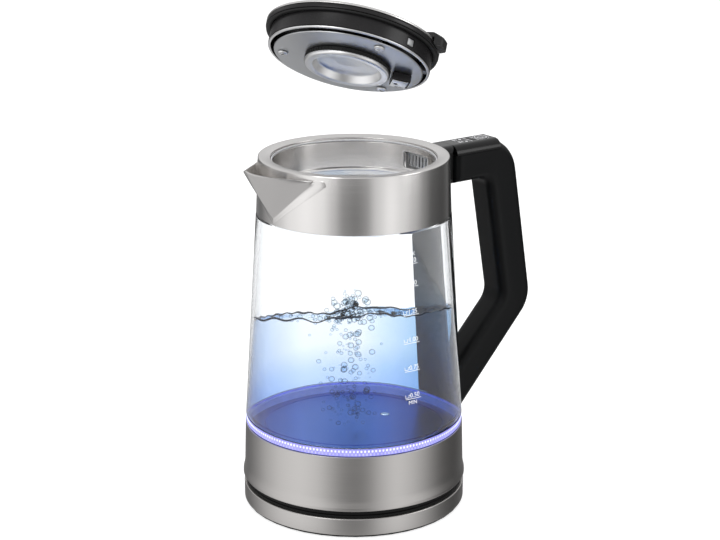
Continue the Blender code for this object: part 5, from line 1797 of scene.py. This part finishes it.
# The painted glow and the painted side shade are multiplied into one colour.
painted_glow_and_side_shade = add(tree, "ShaderNodeMix", data_type="RGBA", blend_type="MULTIPLY")
painted_glow_and_side_shade.inputs["Factor"].default_value = 1.0
tree.links.new(painted_led_glow_by_height, painted_glow_and_side_shade.inputs["A"])
tree.links.new(edges, painted_glow_and_side_shade.inputs["B"])
tree.links.new(painted_glow_and_side_shade.outputs["Result"], clear.inputs["Color"])
tree.links.new(clear.outputs["BSDF"], output.inputs["Surface"])
print("water from", round(WATER_LOW, 1), "to", WATER_TOP, "mm")

# %% The body of water, with a choppy top
TIP, TILT_SIDE = 0.27, 0.062
CHOP_DEPTH = 40


def surface_height(x, y):
    """Height of the water's surface: a slope, ripples and a hump where the bubbles break."""
    toward = x * math.cos(VIEW_TURN) + y * math.sin(VIEW_TURN)
    side = -x * math.sin(VIEW_TURN) + y * math.cos(VIEW_TURN)
    ripples = 1.1 * math.sin(side * 0.11 + 0.8) + 0.8 * math.sin(side * 0.23 + toward * 0.17)
    ripples += 0.5 * math.sin(side * 0.52 - toward * 0.38 + 2.0)
    hump = 7.0 * math.exp(-(((side + 2) / 13) ** 2 + (toward / 16) ** 2))
    return WATER_TOP + TIP * toward + TILT_SIDE * side + ripples + hump


def water_r(z):
    """The water's radius: just inside the glass."""
    return glass_r(z) - wall - water_gap


ROWS = 24
side_low = GLASS_LOW + 1.8
water_outline = [
    (0, WATER_LOW),
    (58.0, WATER_LOW),
    (58.6, WATER_LOW - 0.8),
    (66.2, WATER_LOW - 0.8),
    (66.5, GLASS_LOW + 1.6),
    (water_r(GLASS_LOW), side_low),
]
for k in range(1, ROWS + 1):
    z = side_low + (WATER_TOP - side_low) * k / ROWS
    water_outline.append((water_r(z), z))
for k in range(ROWS - 1, -1, -1):
    water_outline.append((water_r(WATER_TOP) * k / ROWS, WATER_TOP))
water = lathe("water_body", water_outline, Matrix.Identity(4), 120, 60)
for vertex in water.data.vertices:
    x, y, z = (part / MM for part in vertex.co)
    share = max(0.0, (z - WATER_TOP + CHOP_DEPTH) / CHOP_DEPTH)
    lifted = z + (surface_height(x, y) - WATER_TOP) * share
    pull_in = 1.0
    if share > 0 and math.hypot(x, y) > 30:
        pull_in = water_r(lifted) / water_r(z)
    vertex.co = Vector((x * pull_in, y * pull_in, lifted)) * MM
set_down(water, KETTLE)
water.data.materials.append(water_painted_light_finish)
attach(water, "jug")
water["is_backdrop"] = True
print("water:", len(water.data.polygons), "faces")

# %% Painted shade: the dark line where water meets glass, and dark-rimmed bubbles
# Painted shade: the bubbles turn to a near-black gloss towards their glancing rims, as dark outlines.
bubble_painted_rim_shade_finish, tree, output, clear = see_through("bubble_painted_rim_shade")
clear.inputs["Color"].default_value = (0.93, 0.97, 1.0, 1)
painted_rim_shade = add(tree, "ShaderNodeBsdfGlossy")
painted_rim_shade.inputs["Color"].default_value = (0.02, 0.04, 0.07, 1)
painted_rim_shade.inputs["Roughness"].default_value = 0.1
rim = add(tree, "ShaderNodeLayerWeight")
rim.inputs["Blend"].default_value = 0.5
painted_rim_shade_share = math_node(tree, "POWER", rim.outputs["Facing"], 2.0)
both = add(tree, "ShaderNodeMixShader")
tree.links.new(painted_rim_shade_share, both.inputs["Fac"])
tree.links.new(clear.outputs["BSDF"], both.inputs[1])
tree.links.new(painted_rim_shade.outputs["BSDF"], both.inputs[2])
tree.links.new(both.outputs["Shader"], output.inputs["Surface"])


def prop(obj, finish):
    obj.data.materials.clear()
    obj.data.materials.append(finish)
    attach(obj, "jug")
    obj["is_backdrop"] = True
    return obj


def bubbles(name, spots):
    """Many small rounds in one mesh, each a little flattened."""
    bpy.ops.object.select_all(action="DESELECT")
    made = []
    for place, size in spots:
        bpy.ops.mesh.primitive_ico_sphere_add(
            subdivisions=2, radius=size * MM, location=Vector(place) * MM, scale=(1, 1, 0.86)
        )
        made.append(bpy.context.object)
    for obj in made:
        obj.select_set(True)
    bpy.ops.object.join()
    obj = bpy.context.object
    obj.name = name
    bpy.ops.object.transform_apply(location=True, rotation=True, scale=True)
    return prop(smooth(set_down(obj, KETTLE), 80), finish=bubble_painted_rim_shade_finish)


def column_spot(low_z, high_z, spread):
    z = random.uniform(low_z, high_z)
    side = random.gauss(-3.5, spread)
    toward = random.gauss(8, spread)
    x = toward * math.cos(VIEW_TURN) - side * math.sin(VIEW_TURN)
    y = toward * math.sin(VIEW_TURN) + side * math.cos(VIEW_TURN)
    return (x, y, z)


BUBBLE_SIZES = (0.6, 0.8, 1.0, 1.3, 1.7, 2.2)
rising = [(column_spot(60, 132, 7.5), random.choice(BUBBLE_SIZES)) for _ in range(170)]
breaking = [(column_spot(126, 146, 6.0), random.uniform(0.9, 2.6)) for _ in range(75)]
surface = []
for _ in range(70):
    turn, reach = random.uniform(0, TURN), random.uniform(15, 62)
    x, y = reach * math.cos(turn), reach * math.sin(turn)
    z = surface_height(x, y) - random.uniform(0, 2.0)
    surface.append(((x, y, z), random.uniform(0.5, 2.0)))
bubbles("rising_bubbles", rising)
bubbles("breaking_bubbles", breaking)
bubbles("surface_bubbles", surface)
# Painted shade: a dark navy tube stands where water meets glass, for the dark look of the meniscus.
painted_meniscus_shade = new_finish("painted_meniscus_line", (0.004, 0.012, 0.030), 0.08)[0]
LINE_STEPS = 180
line_points = []
for k in range(LINE_STEPS):
    turn = TURN * k / LINE_STEPS
    radius = glass_r(WATER_TOP) - wall - 0.5
    x, y = radius * math.cos(turn), radius * math.sin(turn)
    z = surface_height(x, y)
    radius = glass_r(z) - wall - 0.45
    line_points.append(Vector((radius * math.cos(turn), radius * math.sin(turn), z - 0.2)) * MM)
bpy.ops.object.select_all(action="DESELECT")
bpy.ops.curve.primitive_bezier_circle_add(radius=0.05)
line = bpy.context.object
line.name = "painted_meniscus_line"
line.data.splines.clear()
spline = line.data.splines.new("POLY")
spline.points.add(len(line_points) - 1)
for point, place in zip(spline.points, line_points):
    point.co = (*place, 1)
    point.radius = 0.55 + 0.45 * math.sin(8 * place.x / 0.06 + 1.0) ** 2
spline.use_cyclic_u = True
line.data.bevel_depth = 0.75 * MM
line.data.bevel_resolution = 2
bpy.ops.object.convert(target="MESH")
line = bpy.context.object
prop(smooth(set_down(line, KETTLE)), painted_meniscus_shade)
print(len(rising) + len(breaking) + len(surface), "bubbles")

# %% [markdown]
# ## Floor, light and camera
#
# The floor is plain and pale. The sky round the kettle is a soft studio: bright to both sides,
# with dark gaps between, because brushed steel only looks like steel when it has dark to reflect
# as well as light. The camera sees that sky as plain white.

# %% The floor
bpy.ops.object.select_all(action="DESELECT")
bpy.ops.mesh.primitive_plane_add(size=24, location=(0, 0, 0))
floor = bpy.context.object
floor.name = "floor"
floor_finish, floor_tree, floor_shader = new_finish("pale_floor", (0.34, 0.34, 0.34), 0.9)
mottle = noise(floor_tree, own_place(floor_tree, Matrix.Identity(4)), 2.0, 2.0)
shade = blend_colours(floor_tree, mottle, (0.335, 0.335, 0.335), (0.345, 0.345, 0.345))
floor_tree.links.new(shade, floor_shader.inputs["Base Color"])
floor_shader.inputs["Emission Color"].default_value = (1, 1, 1, 1)
floor_shader.inputs["Emission Strength"].default_value = 0.72
floor.data.materials.append(floor_finish)
floor.visible_glossy = False
floor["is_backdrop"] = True
print("floor laid")

# %% The studio sky
sky = bpy.data.worlds.new("studio_sky")
bpy.context.scene.world = sky
sky.use_nodes = True
tree = sky.node_tree
tree.nodes.clear()
out = add(tree, "ShaderNodeOutputWorld")
seen = add(tree, "ShaderNodeBackground")
seen.inputs["Color"].default_value = (1, 1, 1, 1)
seen.inputs["Strength"].default_value = 1.0
lit = add(tree, "ShaderNodeBackground")
coords = add(tree, "ShaderNodeTexCoord")
split = add(tree, "ShaderNodeSeparateXYZ")
tree.links.new(coords.outputs["Generated"], split.inputs["Vector"])
heading = math_node(tree, "ARCTAN2", split.outputs["Y"], split.outputs["X"])
turned = math_node(tree, "SUBTRACT", heading, VIEW_TURN + math.pi)
wrapped = math_node(tree, "WRAP", turned, TURN, 0.0)
share = math_node(tree, "DIVIDE", wrapped, TURN)
bands = add(tree, "ShaderNodeValToRGB")
bands.color_ramp.interpolation = "EASE"
BANDS = (
    *((-180, 0.30), (-142, 0.18), (-122, 0.40), (-100, 0.85), (-80, 1.20), (-58, 1.35)),
    *((-38, 1.15), (-24, 0.70), (-12, 0.30), (3, 0.22), (14, 0.34), (27, 0.90), (44, 1.30)),
    *((60, 1.00), (76, 0.62), (90, 0.28), (104, 0.10), (128, 0.07), (150, 0.16), (180, 0.30)),
)
LAST_PLACE = 0.9999
ramp = bands.color_ramp
ramp.elements.remove(ramp.elements[1])
for index, (degrees, value) in enumerate(BANDS):
    position = min((degrees + 180) / 360, LAST_PLACE)
    stop = ramp.elements.new(position) if index else ramp.elements[0]
    stop.position = position
    stop.color = (value, value, value * 1.01, 1)
tree.links.new(share, bands.inputs["Fac"])


def layer(level, first, last, under):
    """Blends the sky towards a plain grey between two heights of the view direction."""
    mix = add(tree, "ShaderNodeMix", data_type="RGBA")
    height = split.outputs["Z"]
    share = share_between(tree, height, first, last, interpolation_type="SMOOTHSTEP")
    tree.links.new(share, mix.inputs["Factor"])
    tree.links.new(under, mix.inputs["A"])
    mix.inputs["B"].default_value = (level, level, level * 1.01, 1)
    return mix.outputs["Result"]


upper = layer(0.85, 0.02, 0.30, bands.outputs["Color"])
whole = layer(0.62, -0.50, -0.66, upper)
tree.links.new(whole, lit.inputs["Color"])
lit.inputs["Strength"].default_value = 1.0
path = add(tree, "ShaderNodeLightPath")
choose = add(tree, "ShaderNodeMixShader")
tree.links.new(path.outputs["Is Camera Ray"], choose.inputs["Fac"])
tree.links.new(lit.outputs["Background"], choose.inputs[1])
tree.links.new(seen.outputs["Background"], choose.inputs[2])
tree.links.new(choose.outputs["Shader"], out.inputs["Surface"])
print(len(ramp.elements), "bands round the sky")

# %% Softboxes


def softbox(name, place, aim, size, power, glossy=True):
    data = bpy.data.lights.new(name, "AREA")
    data.shape = "RECTANGLE"
    data.size, data.size_y = size
    data.energy = power
    obj = bpy.data.objects.new(name, data)
    bpy.context.scene.collection.objects.link(obj)
    obj.location = place
    obj.rotation_euler = (Vector(aim) - Vector(place)).to_track_quat("-Z", "Y").to_euler()
    obj.visible_glossy = glossy
    return obj


softbox("overhead", (0.0, 0.2, 1.9), (0, 0, 0.1), (2.4, 2.4), 42, False)
softbox("key", (-1.5, -0.5, 1.2), (0, 0, 0.15), (0.9, 0.9), 9)
softbox("fill", (1.0, -1.4, 0.9), (0, 0, 0.15), (0.8, 0.8), 5)
print("three softboxes")

# %% The camera
camera_data = bpy.data.cameras.new("camera")
camera_data.sensor_width = 36.0
camera_data.lens = 94.4
camera_data.shift_x = 0.0086
camera_data.clip_start = 0.01
camera = bpy.data.objects.new("camera", camera_data)
bpy.context.scene.collection.objects.link(camera)
camera.location = (AXIS_X - 0.7147, -0.9484, 0.5157)
camera.rotation_euler = (math.radians(90 - 16.753), 0, math.radians(-37.0))
bpy.context.scene.camera = camera
bpy.context.scene.view_settings.view_transform = "Standard"
print("camera", [round(part, 3) for part in camera.location])

# %% [markdown]
# ## The size of both boxes
#
# The model with its new skins is meant to fill the same box as the solids; both boxes are printed.

# %% Print the boxes
sizes = {"cad": [list(corner) for corner in CAD_BOX], "visual": [list(corner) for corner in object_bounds()]}
for label, (lowest, highest) in sizes.items():
    print(label, [round((b - a) / MM, 1) for a, b in zip(lowest, highest)], "mm")
